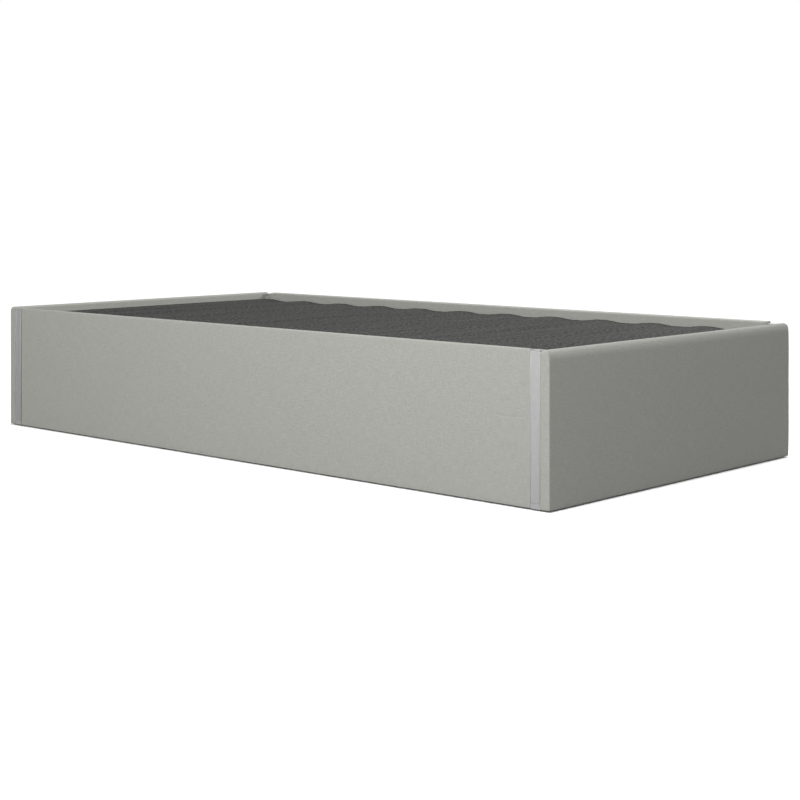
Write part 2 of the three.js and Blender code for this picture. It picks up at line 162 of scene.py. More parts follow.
def ripple(u: np.ndarray, v: np.ndarray, length: float, seed: int, stretch: float = 1.0) -> np.ndarray:
    """A gentle unevenness: the mean of plane waves with seeded directions and phases.

    Args:
        u: first place on the surface.
        v: second place on the surface.
        length: the usual wavelength.
        seed: number that picks the waves.
        stretch: how many times longer the waves are along u than along v.

    Returns:
        Values about zero that seldom pass 1.
    """
    draw = np.random.default_rng(seed)
    turn = draw.uniform(0, 2 * np.pi, RIPPLE_WAVES)
    phase = draw.uniform(0, 2 * np.pi, RIPPLE_WAVES)
    size = draw.uniform(*RIPPLE_SIZES, RIPPLE_WAVES)
    pull = 2 * np.pi / (length * size)
    along = u[..., None] / stretch * np.cos(turn) + v[..., None] * np.sin(turn)
    return np.sin(along * pull + phase).mean(-1) * 2.0


def about_z(angle: float) -> np.ndarray:
    """The rotation about Z by an angle."""
    c, s = math.cos(angle), math.sin(angle)
    return np.array([[c, -s, 0.0], [s, c, 0.0], [0.0, 0.0, 1.0]])


def facing_x(sign: float) -> np.ndarray:
    """The rotation that turns +Z to +X or -X."""
    return np.array([[0.0, 0.0, sign], [0.0, 1.0, 0.0], [-sign, 0.0, 0.0]])


def eased(t: np.ndarray) -> np.ndarray:
    """Smooth step from 0 to 1: three t squared less two t cubed, held between the ends."""
    t = np.clip(t, 0.0, 1.0)
    return t * t * (3 - 2 * t)


def ring_quads(rings: int, sides: int) -> np.ndarray:
    """Quads between rings of points that follow each other, each ring closed on itself.

    Args:
        rings: how many rings there are.
        sides: points of each ring.

    Returns:
        The quads: a corner's number is its ring times the sides, plus its place on the ring.
    """
    row, side = np.meshgrid(np.arange(rings - 1) * sides, np.arange(sides), indexing="ij")
    after = (side + 1) % sides
    return np.stack([row + side, row + after, row + sides + after, row + sides + side], -1).reshape(-1, 4)


@dataclass
class Surface:
    """A surface as arrays: points, quads, and each quad corner's place on the flat cloth, in metres."""

    points: np.ndarray
    quads: np.ndarray
    cloth: np.ndarray | None = None

    def repeated(self, places: np.ndarray, turns: np.ndarray) -> Surface:
        """Copies of this surface at several places.

        Args:
            places: n places.
            turns: n rotation matrices.

        Returns:
            One surface: a point is the place plus the turn times the first point, for all copies at once.
        """
        points = places[:, None, :] + np.einsum("nij,pj->npi", turns, self.points)
        shift = np.arange(len(places))[:, None, None] * len(self.points)
        return Surface(points.reshape(-1, 3), (self.quads[None] + shift).reshape(-1, 4))

    def build(self, name: str, merge: bool = False) -> bpy.types.Object:
        """Puts the arrays into a mesh.

        Args:
            name: name of the piece.
            merge: True where quads meet in a pole, whose doubles are then merged.

        Returns:
            The object, smooth, at the origin.
        """
        mesh = bpy.data.meshes.new(name)
        mesh.from_pydata(self.points.tolist(), [], self.quads.tolist())
        if self.cloth is not None:
            layer = mesh.uv_layers.new(name=CLOTH_MAP)
            layer.data.foreach_set("uv", self.cloth.astype(np.float32).ravel())
        if merge:
            shape = bmesh.new()
            shape.from_mesh(mesh)
            bmesh.ops.remove_doubles(shape, verts=shape.verts, dist=MERGE_DISTANCE)
            bmesh.ops.recalc_face_normals(shape, faces=shape.faces)
            shape.to_mesh(mesh)
            shape.free()
        mesh.polygons.foreach_set("use_smooth", np.ones(len(mesh.polygons), bool))
        mesh.update()
        piece = bpy.data.objects.new(name, mesh)
        bpy.context.scene.collection.objects.link(piece)
        return piece


@dataclass
class BoxGrid:
    """The surface of a box, ruled by lines along its three axes.

    Each face is a grid of the two axes that it spans, and faces share the points of their common edge.
    """

    points: np.ndarray
    quads: np.ndarray
    axis: np.ndarray
    high: np.ndarray

    @classmethod
    def from_lines(cls, xs: np.ndarray, ys: np.ndarray, zs: np.ndarray) -> BoxGrid:
        """Rules the box: a point is the crossing of three lines, one of which bounds the box.

        Args:
            xs: places of the lines along X.
            ys: places along Y.
            zs: places along Z.

        Returns:
            The box's surface.
        """
        counts = [len(xs), len(ys), len(zs)]
        quads, axes, highs = [], [], []
        for axis in range(3):
            u, v = (axis + 1) % 3, (axis + 2) % 3
            first, second = np.meshgrid(np.arange(counts[u]), np.arange(counts[v]), indexing="ij")
            for high in (False, True):
                place = [first] * 3
                place[v] = second
                place[axis] = np.full_like(first, counts[axis] - 1 if high else 0)
                key = (place[0] * counts[1] + place[1]) * counts[2] + place[2]
                quad = np.stack([key[:-1, :-1], key[1:, :-1], key[1:, 1:], key[:-1, 1:]], -1).reshape(-1, 4)
                quads.append(quad if high else quad[:, ::-1])
                axes.append(np.full(len(quad), axis))
                highs.append(np.full(len(quad), high))
        used, numbers = np.unique(np.concatenate(quads), return_inverse=True)
        i, rest = np.divmod(used, counts[1] * counts[2])
        j, k = np.divmod(rest, counts[2])
        points = np.stack([xs[i], ys[j], zs[k]], -1)
        return cls(points, numbers.reshape(-1, 4), np.concatenate(axes), np.concatenate(highs))

    def surface(
        self, points: np.ndarray, keep: np.ndarray | None = None, cloth: np.ndarray | None = None
    ) -> Surface:
        """The box's quads over moved points.

        Args:
            points: where each point of the grid has gone.
            keep: which quads stay, or None for all.
            cloth: each quad corner's place on the flat cloth, or None.

        Returns:
            The surface, without the points that no quad uses.
        """
        keep = np.ones(len(self.quads), bool) if keep is None else keep
        used, numbers = np.unique(self.quads[keep], return_inverse=True)
        return Surface(points[used], numbers.reshape(-1, 4), None if cloth is None else cloth[keep])


def lined(outer: np.ndarray, inner: np.ndarray, quads: np.ndarray) -> Surface:
    """The closed body between two sheets that are numbered alike, with a rim along their open edges.

    An open edge is one that a single quad uses. A rim quad joins it to its twin on the inner sheet.

    Args:
        outer: points of the outer sheet.
        inner: points of the inner sheet.
        quads: quads of the outer sheet.

    Returns:
        The body. Where the inner sheet is folded flat on itself, its doubles need merging.
    """
    edges = np.stack([quads, np.roll(quads, -1, 1)], -1).reshape(-1, 2)
    key = edges.min(1) * len(outer) + edges.max(1)
    _, numbers, uses = np.unique(key, return_inverse=True, return_counts=True)
    a, b = edges[uses[numbers] == 1].T
    rim = np.stack([b, a, a + len(outer), b + len(outer)], -1)
    return Surface(np.concatenate([outer, inner]), np.concatenate([quads, quads[:, ::-1] + len(outer), rim]))


def turned(
    profile: Sequence[tuple[float, float]], steps: int, corners: np.ndarray | None = None
) -> Surface:
    """A turned shape: the profile's radius times the sine and cosine of the angle, at the profile's height.

    Args:
        profile: (radius, height) from pole to pole.
        steps: sides of the turning.
        corners: for each angle, what the radius is multiplied by on a socket's polygonal rings, which the
            profile marks with a negative radius.

    Returns:
        The closed surface about the Z axis.
    """
    rows = np.asarray(profile, float)
    angle = np.linspace(0, 2 * np.pi, steps, endpoint=False)
    radius = np.repeat(np.abs(rows[:, :1]), steps, 1)
    if corners is not None:
        radius = np.where(rows[:, :1] < 0, radius * corners, radius)
    height = np.repeat(rows[:, 1:], steps, 1)
    points = np.stack([radius * np.cos(angle), radius * np.sin(angle), height], -1).reshape(-1, 3)
    return Surface(points, ring_quads(len(rows), steps))


def rounded_bar(low: Row, high: Row, radius: float, steps: Row | None = None) -> Surface:
    """A bar with all its edges rounded: a ruled box whose three pairs of axes are rounded in turn.

    Args:
        low: low corner.
        high: high corner.
        radius: radius of the edges.
        steps: widest space between the grid's lines along each axis, or None for a small bar that is
            repeated many times: its rounds take one step, so it has 54 faces.

    Returns:
        The closed surface.
    """
    low, high = np.asarray(low, float), np.asarray(high, float)
    rounds = [0.0, radius] if steps is None else round_lines(radius)
    widest = high - low if steps is None else steps
    lines = [ruled(low[i], high[i], widest[i], rounds) for i in range(3)]
    grid = BoxGrid.from_lines(*lines)
    middle, half = (low + high) / 2, (high - low) / 2
    side = np.where(grid.points < middle, -1.0, 1.0)
    inset = half - np.abs(grid.points - middle)
    for a, b in ((0, 1), (1, 2), (2, 0)):
        inset[:, a], inset[:, b] = rounded(inset[:, a], inset[:, b], radius)
    return grid.surface(middle + side * (half - inset))


def vertex_places(mesh: bpy.types.Mesh) -> np.ndarray:
    """Reads the places of a mesh's vertices.

    Args:
        mesh: the mesh.

    Returns:
        One row for each vertex.
    """
    places = np.empty(len(mesh.vertices) * 3, np.float32)
    mesh.vertices.foreach_get("co", places)
    return places.reshape(-1, 3)


def softened_copy(
    node: str, name: str, width: float, segments: int = 2, trim: float = 0.0, top: float | None = None
) -> bpy.types.Object:
    """A copy of a CAD node with its doubles merged, its flat faces joined and its sharp edges bevelled.

    Args:
        node: name of the CAD node.
        name: name of the new piece.
        width: width of the bevel.
        segments: steps across the bevel.
        trim: what the copy loses in length at both ends, to leave room for cloth.
        top: height that the copy is cut down to, or None for its own.

    Returns:
        The new object, at the origin.
    """
    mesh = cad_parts[node].data.copy()
    mesh.name = name
    mesh.materials.clear()
    if trim or top is not None:
        places = vertex_places(mesh)
        low, high = places.min(0), places.max(0)
        longest = (high - low).argmax()
        low[longest], high[longest] = low[longest] + trim, high[longest] - trim
        high[2] = high[2] if top is None else top
        mesh.vertices.foreach_set("co", places.clip(low, high).ravel())
    shape = bmesh.new()
    shape.from_mesh(mesh)
    bmesh.ops.remove_doubles(shape, verts=shape.verts, dist=MERGE_DISTANCE)
    flat = math.radians(FLAT_ANGLE_DEG)
    bmesh.ops.dissolve_limit(shape, angle_limit=flat, verts=shape.verts, edges=shape.edges)
    shape.to_mesh(mesh)
    shape.free()
    mesh.polygons.foreach_set("use_smooth", np.ones(len(mesh.polygons), bool))
    piece = bpy.data.objects.new(name, mesh)
    bpy.context.scene.collection.objects.link(piece)
    bevel = piece.modifiers.new("edges", "BEVEL")
    bevel.width, bevel.segments, bevel.limit_method = width, segments, "ANGLE"
    bevel.angle_limit = math.radians(BEVEL_ANGLE_DEG)
    piece.modifiers.new("shading", "WEIGHTED_NORMAL").keep_sharp = True
    return piece


def settle(
    piece: bpy.types.Object,
    body: str,
    material: bpy.types.Material,
    stands_for: Sequence[str] = (),
) -> bpy.types.Object:
    """Gives a finished piece its material and its body, and hides the CAD nodes that it stands for.

    Args:
        piece: the finished object.
        body: body that it rides on.
        material: its finish.
        stands_for: CAD nodes that it replaces.

    Returns:
        The same object.
    """
    piece.data.materials.clear()
    piece.data.materials.append(material)
    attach(piece, body)
    if stands_for:
        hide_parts(*stands_for)
    LOG.info("%s: %d faces, on %s", piece.name, len(piece.data.polygons), body)
    return piece


# Finishes


def add(
    tree: bpy.types.NodeTree, kind: str, inputs: dict | None = None, **settings: object
) -> bpy.types.Node:
    """Adds a node.

    Args:
        tree: the node tree.
        kind: the node's type without ShaderNode in front.
        inputs: value or source socket for each input, by its name or number.
        settings: the node's own properties.

    Returns:
        The new node.
    """
    node = tree.nodes.new("ShaderNode" + kind)
    for name, value in settings.items():
        setattr(node, name, value)
    for name, value in (inputs or {}).items():
        if isinstance(value, bpy.types.NodeSocket):
            tree.links.new(value, node.inputs[name])
        else:
            node.inputs[name].default_value = value
    return node


def new_material(name: str) -> tuple[bpy.types.Material, bpy.types.NodeTree]:
    """Makes a material without any nodes.

    Args:
        name: its name.

    Returns:
        The material and its node tree.
    """
    material = bpy.data.materials.new(name)
    material.use_nodes = True
    material.node_tree.nodes.clear()
    return material, material.node_tree


def close(tree: bpy.types.NodeTree, **inputs: object) -> None:
    """Ends a tree with a Principled shader and the output.

    Args:
        tree: the node tree.
        inputs: value or source socket for each of the shader's inputs, with _ for a space in its name and
            specular for the specular level.
    """
    sockets = {name.replace("_", " ").title(): value for name, value in inputs.items()}
    named = {name.replace("Specular", "Specular IOR Level"): value for name, value in sockets.items()}
    shader = add(tree, "BsdfPrincipled", named)
    add(tree, "OutputMaterial", {"Surface": shader.outputs[0]})


class Along(Enum):
    """The axis that a grain or a drawn line follows, by the scale of the pattern along each axis."""

    X = (0.05, 1.0, 1.0)
    Y = (1.0, 0.05, 1.0)
    Z = (1.0, 1.0, 0.02)


@dataclass(frozen=True)
class Weave:
    """Plain-woven upholstery cloth: rows of yarn that cross over and under.

    The eye gets a soft grain of crossings, uneven slubs and a pale fuzz at glancing angles.
    """

    name: str
    yarn: str
    hollow: str
    pitch_mm: float
    pebble_mm: float
    mottle: float
    streak: float
    sheen: float
    specular: float
    bump_mm: float
    roughness: float = 0.92
    # Scales are per metre, along a yarn and across it.
    sway_mm: float = 1.2
    sways_per_m: float = 90.0
    slub: float = 0.2
    slub_scale: tuple[float, float] = (40.0, 700.0)
    slub_span: tuple[float, float] = (0.7, 1.3)
    slub_lift: float = 0.35
    pebble_lift: float = 3.0
    streak_scale: tuple[float, float] = (1.6, 26.0)
    crossing_tones: tuple[float, float] = (0.35, 0.75)

    def material(self) -> bpy.types.Material:
        """Crossings are the product of two sines; slubs are noise drawn out along each yarn.

        The tone is the crossings' plus what pebbles, slubs and streaks add, and mixes the two colours.

        Returns:
            The cloth, patterned over its own flat map.
        """
        material, tree = new_material(self.name)
        place = add(tree, "UVMap", uv_map=CLOTH_MAP).outputs[0]
        sways = {"Vector": place, "Scale": self.sways_per_m, "Detail": 2.0}
        uneven = add(tree, "TexNoise", sways).outputs["Color"]
        sway = add(tree, "VectorMath", {0: uneven, "Scale": self.sway_mm * MM}, operation="SCALE").outputs[0]
        swayed = add(tree, "VectorMath", {0: place, 1: sway}, operation="ADD").outputs[0]
        per_m = math.pi / (self.pitch_mm * MM)
        rows = add(tree, "VectorMath", {0: swayed, "Scale": per_m}, operation="SCALE")
        waves = add(tree, "VectorMath", {0: rows.outputs[0]}, operation="SINE").outputs[0]
        part = add(tree, "SeparateXYZ", {0: waves})
        product = {0: part.outputs[0], 1: part.outputs[1]}
        crossing = add(tree, "Math", product, operation="MULTIPLY").outputs[0]
        height = add(tree, "Math", {0: crossing}, operation="ABSOLUTE").outputs[0]

        pebbles = {"Vector": place, "Scale": 1 / (self.pebble_mm * MM), "Detail": 3.0, "Roughness": 0.6}
        pebble = add(tree, "TexNoise", pebbles).outputs[0]
        along, across = self.slub_scale
        slub_u = add(tree, "Mapping", {"Vector": place, "Scale": (along, across, 1.0)}).outputs[0]
        slub_v = add(tree, "Mapping", {"Vector": place, "Scale": (across, along, 1.0)}).outputs[0]
        slubs = [
            add(tree, "TexNoise", {"Vector": drawn, "Scale": 1.0, "Detail": 1.0}).outputs[0]
            for drawn in (slub_u, slub_v)
        ]
        slub = add(tree, "Math", {0: slubs[0], 1: slubs[1]}, operation="ADD").outputs[0]

        dark, pale = self.crossing_tones
        levels = {"Value": crossing, "From Min": -1.0, "To Min": dark, "To Max": pale}
        tone = add(tree, "MapRange", levels).outputs[0]
        spread = {"Value": pebble, **NOISE_SPAN, "To Min": -self.mottle, "To Max": self.mottle}
        grain = add(tree, "MapRange", spread).outputs[0]
        thin, thick = self.slub_span
        spread = {"From Min": thin, "From Max": thick, "To Min": -self.slub, "To Max": self.slub}
        yarn_tone = add(tree, "MapRange", {"Value": slub, **spread}).outputs[0]
        tone = add(tree, "Math", {0: tone, 1: grain}, operation="ADD").outputs[0]
        tone = add(tree, "Math", {0: tone, 1: yarn_tone}, operation="ADD", use_clamp=True).outputs[0]
        if self.streak:
            drawn = add(tree, "Mapping", {"Vector": place, "Scale": (*self.streak_scale, 1.0)}).outputs[0]
            band = add(tree, "TexNoise", {"Vector": drawn, "Scale": 1.0, "Detail": 4.0}).outputs[0]
            spread = {"Value": band, **NOISE_SPAN, "To Min": -self.streak, "To Max": self.streak}
            streaks = add(tree, "MapRange", spread).outputs[0]
            tone = add(tree, "Math", {0: tone, 1: streaks}, operation="ADD").outputs[0]
        colours = {0: tone, 6: linear(self.hollow), 7: linear(self.yarn)}
        colour = add(tree, "Mix", colours, data_type="RGBA").outputs[2]

        lifts = {0: slub, 1: self.slub_lift, 2: height}
        lift = add(tree, "Math", lifts, operation="MULTIPLY_ADD").outputs[0]
        relief = {"Height": lift, "Strength": 0.5, "Distance": self.bump_mm * MM}
        fine = add(tree, "Bump", relief).outputs[0]
        relief = {"Height": pebble, "Strength": 0.6, "Distance": self.pebble_lift * self.bump_mm * MM}
        coarse = add(tree, "Bump", {**relief, "Normal": fine}).outputs[0]
        close(
            tree, base_color=colour, roughness=self.roughness, normal=coarse, sheen_weight=self.sheen,
            sheen_roughness=0.5, specular=self.specular,
        )
        return material


@dataclass(frozen=True)
class DrawnMetal:
    """Metal with lines along the way it was drawn or brushed: satin, with long faint streaks."""

    name: str
    colour: str
    roughness: float
    along: Along
    line_mm: float
    mottle: float = 0.06
    clouds_per_m: float = 70.0
    streak: float = 0.05
    bump_mm: float = 0.05

    def material(self) -> bpy.types.Material:
        """Streaks are noise stretched along the drawing; a mottle is larger noise that shifts the tone.

        Returns:
            The metal. Its streaks show in the roughness and as a slight relief.
        """
        material, tree = new_material(self.name)
        place = add(tree, "TexCoord").outputs["Object"]
        stretched = add(tree, "Mapping", {"Vector": place, "Scale": self.along.value}).outputs[0]
        lines = {"Vector": stretched, "Scale": 1 / (self.line_mm * MM), "Detail": 3.0}
        streak = add(tree, "TexNoise", lines).outputs[0]
        clouds = {"Vector": place, "Scale": self.clouds_per_m, "Detail": 2.0}
        cloud = add(tree, "TexNoise", clouds).outputs[0]
        smooth, matt = self.roughness - self.streak, self.roughness + self.streak
        levels = {"Value": streak, **NOISE_SPAN, "To Min": smooth, "To Max": matt}
        rough = add(tree, "MapRange", levels).outputs[0]
        levels = {"Value": cloud, "To Min": 1 - self.mottle, "To Max": 1 + self.mottle}
        shade = add(tree, "MapRange", levels).outputs[0]
        colours = {0: 1.0, 6: linear(self.colour), 7: shade}
        colour = add(tree, "Mix", colours, data_type="RGBA", blend_type="MULTIPLY").outputs[2]
        relief = {"Height": streak, "Strength": 0.25, "Distance": self.bump_mm * MM}
        normal = add(tree, "Bump", relief).outputs[0]
        close(tree, base_color=colour, metallic=1.0, roughness=rough, normal=normal)
        return material


@dataclass(frozen=True)
class Moulded:
    """Moulded or powder-coated surface: one colour with a fine even texture."""

    name: str
    colour: str
    roughness: float
    grain_mm: float
    bump_mm: float
    mottle: float = 0.07
    clouds_per_m: float = 30.0

    def material(self) -> bpy.types.Material:
        """The texture is noise of the grain's size, and a slower noise shifts the tone a little.

        Returns:
            The moulded or coated surface.
        """
        material, tree = new_material(self.name)
        place = add(tree, "TexCoord").outputs["Object"]
        grains = {"Vector": place, "Scale": 1 / (self.grain_mm * MM), "Detail": 2.0}
        grain = add(tree, "TexNoise", grains).outputs[0]
        clouds = {"Vector": place, "Scale": self.clouds_per_m, "Detail": 2.0}
        cloud = add(tree, "TexNoise", clouds).outputs[0]
        levels = {"Value": cloud, "To Min": 1 - self.mottle, "To Max": 1 + self.mottle}
        shade = add(tree, "MapRange", levels).outputs[0]
        colours = {0: 1.0, 6: linear(self.colour), 7: shade}
        colour = add(tree, "Mix", colours, data_type="RGBA", blend_type="MULTIPLY").outputs[2]
        relief = {"Height": grain, "Strength": 0.4, "Distance": self.bump_mm * MM}
        normal = add(tree, "Bump", relief).outputs[0]
        close(tree, base_color=colour, roughness=self.roughness, normal=normal)
        return material


@dataclass(frozen=True)
class Timber:
    """Planed wood, oiled or raw: growth lines and darker pores drawn out along the grain."""

    name: str
    light: str
    dark: str
    along: Along
    ring_mm: float
    pore: float
    roughness: float
    bends_per_m: float = 9.0
    bend_mm: float = 110.0
    pores_per_m: float = 900.0
    pore_span: tuple[float, float] = (0.55, 0.75)
    ring_share: float = 0.6
    bump_mm: float = 0.1

    def material(self) -> bpy.types.Material:
        """Rings are a wave across the grain bent by noise; pores are fine noise stretched along it.

        Returns:
            The wood.
        """
        material, tree = new_material(self.name)
        place = add(tree, "TexCoord").outputs["Object"]
        stretched = add(tree, "Mapping", {"Vector": place, "Scale": self.along.value}).outputs[0]
        bends = {"Vector": stretched, "Scale": self.bends_per_m, "Detail": 3.0}
        bend = add(tree, "TexNoise", bends).outputs["Color"]
        shift = add(tree, "VectorMath", {0: bend, "Scale": self.bend_mm * MM}, operation="SCALE").outputs[0]
        bent = add(tree, "VectorMath", {0: stretched, 1: shift}, operation="ADD").outputs[0]
        per_m = WAVE_LENGTH / (self.ring_mm * MM)
        waves = {"Vector": bent, "Scale": per_m, "Distortion": 1.5, "Detail": 2.0}
        rings = add(tree, "TexWave", waves, bands_direction="DIAGONAL").outputs[1]
        specks = {"Vector": stretched, "Scale": self.pores_per_m, "Detail": 2.0}
        pores = add(tree, "TexNoise", specks).outputs[0]
        faint, full = self.pore_span
        levels = {"Value": pores, "From Min": faint, "From Max": full, "To Max": self.pore}
        fleck = add(tree, "MapRange", levels).outputs[0]
        tones = {0: rings, 1: self.ring_share, 2: fleck}
        tone = add(tree, "Math", tones, operation="MULTIPLY_ADD", use_clamp=True).outputs[0]
        colours = {0: tone, 6: linear(self.light), 7: linear(self.dark)}
        colour = add(tree, "Mix", colours, data_type="RGBA").outputs[2]
        relief = {"Height": pores, "Strength": 0.3, "Distance": self.bump_mm * MM}
        normal = add(tree, "Bump", relief).outputs[0]
        close(tree, base_color=colour, roughness=self.roughness, normal=normal)
        return material


@dataclass(frozen=True)
class Speckled:
    """Pressed or blown material with a grain of its own: chipboard flakes, felt fibres or foam cells."""

    name: str
    light: str
    dark: str
    grain_mm: float
    stretch: tuple[float, float, float]
    bump_mm: float
    sheen: float = 0.0
    roughness: float = 0.95
    cell_share: float = 0.6
    fineness: float = 2.4
    tone_span: tuple[float, float] = (0.4, 1.1)

    def material(self) -> bpy.types.Material:
        """Flakes or cells are a cell pattern whose random colour shifts the tone, over a finer noise.

        Returns:
            The pressed or blown material.
        """
        material, tree = new_material(self.name)
        place = add(tree, "TexCoord").outputs["Object"]
        scaled = add(tree, "Mapping", {"Vector": place, "Scale": self.stretch}).outputs[0]
        cells = add(tree, "TexVoronoi", {"Vector": scaled, "Scale": 1 / (self.grain_mm * MM)})
        finer = {"Vector": scaled, "Scale": self.fineness / (self.grain_mm * MM), "Detail": 3.0}
        fine = add(tree, "TexNoise", finer).outputs[0]
        pick = add(tree, "SeparateColor", {0: cells.outputs["Color"]}).outputs[0]
        tones = {0: pick, 1: self.cell_share, 2: fine}
        tone = add(tree, "Math", tones, operation="MULTIPLY_ADD").outputs[0]
        darkest, lightest = self.tone_span
        levels = {"Value": tone, "From Min": darkest, "From Max": lightest}
        tone = add(tree, "MapRange", levels).outputs[0]
        colours = {0: tone, 6: linear(self.dark), 7: linear(self.light)}
        colour = add(tree, "Mix", colours, data_type="RGBA").outputs[2]
        height = add(tree, "Math", {0: cells.outputs[0], 1: fine}, operation="SUBTRACT").outputs[0]
        relief = {"Height": height, "Strength": 0.5, "Distance": self.bump_mm * MM}
        normal = add(tree, "Bump", relief).outputs[0]
        close(tree, base_color=colour, roughness=self.roughness, normal=normal, sheen_weight=self.sheen)
        return material


@dataclass
class Finishes:
    """The finishes of the bed, each made once."""

    upholstery: bpy.types.Material = field(
        # Polyester plain weave, mid warm grey. The real yarns are taken to lie about 1 mm apart, too fine for
        # a view of the whole bed, so the rows are drawn 2.2 mm apart.
        default_factory=Weave(
            "warm_grey_plain_weave", yarn="ababa5", hollow="8d8e88", pitch_mm=2.2, pebble_mm=5.0, mottle=0.14,
            streak=0.0, sheen=0.12, specular=0.2, bump_mm=0.35,
        ).material
    )
    charcoal: bpy.types.Material = field(
        # Thin woven cover cloth, matt, mottled by uneven yarn, with faint streaks where it is drawn tight.
        # Its mottle is drawn coarser than the real one, or the flat view over the bed would not show it.
        default_factory=Weave(
            "charcoal_cover_cloth", yarn="545453", hollow="2c2c2c", pitch_mm=2.4, pebble_mm=9.0, mottle=0.8,
            streak=0.15, sheen=0.0, specular=0.05, bump_mm=0.2,
        ).material
    )
    aluminium: bpy.types.Material = field(
        # Extruded 6060 aluminium, satin anodised: pale, with die lines up the post.
        default_factory=DrawnMetal(
            "satin_anodised_aluminium", colour="c9c8c9", roughness=0.62, along=Along.Z, line_mm=1.6
        ).material
    )
    zinc: bpy.types.Material = field(
        # Zinc-plated steel: bluish, with a cloudy bloom.
        default_factory=DrawnMetal(
            "zinc_plated_steel", colour="b9bdc1", roughness=0.34, along=Along.Z, line_mm=3.0, mottle=0.14
        ).material
    )
    black_steel: bpy.types.Material = field(
        # Powder coat on steel: matt black with an orange-peel surface.
        default_factory=Moulded(
            "black_powder_coat", colour="2b2d2f", roughness=0.5, grain_mm=1.2, bump_mm=0.08
        ).material
    )
    cap_plastic: bpy.types.Material = field(
        # Moulded ABS, spark-eroded texture, grey to go with the posts.
        default_factory=Moulded(
            "grey_moulded_abs", colour="a0a0a1", roughness=0.5, grain_mm=0.5, bump_mm=0.04
        ).material
    )
    foot_plastic: bpy.types.Material = field(
        # Glass-filled nylon, black, slightly grainy.
        default_factory=Moulded(
            "black_moulded_nylon", colour="1f1f20", roughness=0.6, grain_mm=0.6, bump_mm=0.05
        ).material
    )
    beech: bpy.types.Material = field(
        # Glued beech veneer: pinkish tan, short dark flecks along the slat.
        default_factory=Timber(
            "laminated_beech", light="cfa878", dark="a97f52", along=Along.X, ring_mm=13.32, pore=0.5,
            roughness=0.5,
        ).material
    )
    pine: bpy.types.Material = field(
        # Planed spruce: pale yellow with plain growth rings.
        default_factory=Timber(
            "planed_spruce", light="d9bd8f", dark="b98f58", along=Along.Y, ring_mm=7.4, pore=0.2,
            roughness=0.65,
        ).material
    )
    board: bpy.types.Material = field(
        # Raw three-layer chipboard: pressed flakes, tan and brown.
        default_factory=Speckled(
            "raw_chipboard", light="c4ab84", dark="a1855c", grain_mm=2.4, stretch=(1.0, 1.0, 1.6),
            bump_mm=0.15,
        ).material
    )
    foam: bpy.types.Material = field(
        # Polyurethane foam: cream, open cells.
        default_factory=Speckled(
            "cream_foam", light="e4dcc4", dark="c9bd9c", grain_mm=1.2, stretch=(1.0, 1.0, 1.0),
            bump_mm=0.3,
        ).material
    )
    felt: bpy.types.Material = field(
        # Needled felt from mixed fibre: mid grey, matted.
        default_factory=Speckled(
            "needled_felt", light="9b9a97", dark="6e6d6b", grain_mm=2.0, stretch=(1.0, 0.35, 1.0),
            bump_mm=0.5, sheen=0.3,
        ).material
    )
    thread: bpy.types.Material = field(
        # Twisted polyester sewing thread, dark grey.
        default_factory=Moulded(
            "dark_sewing_thread", colour="333334", roughness=0.7, grain_mm=0.3, bump_mm=0.05
        ).material
    )


# Panels


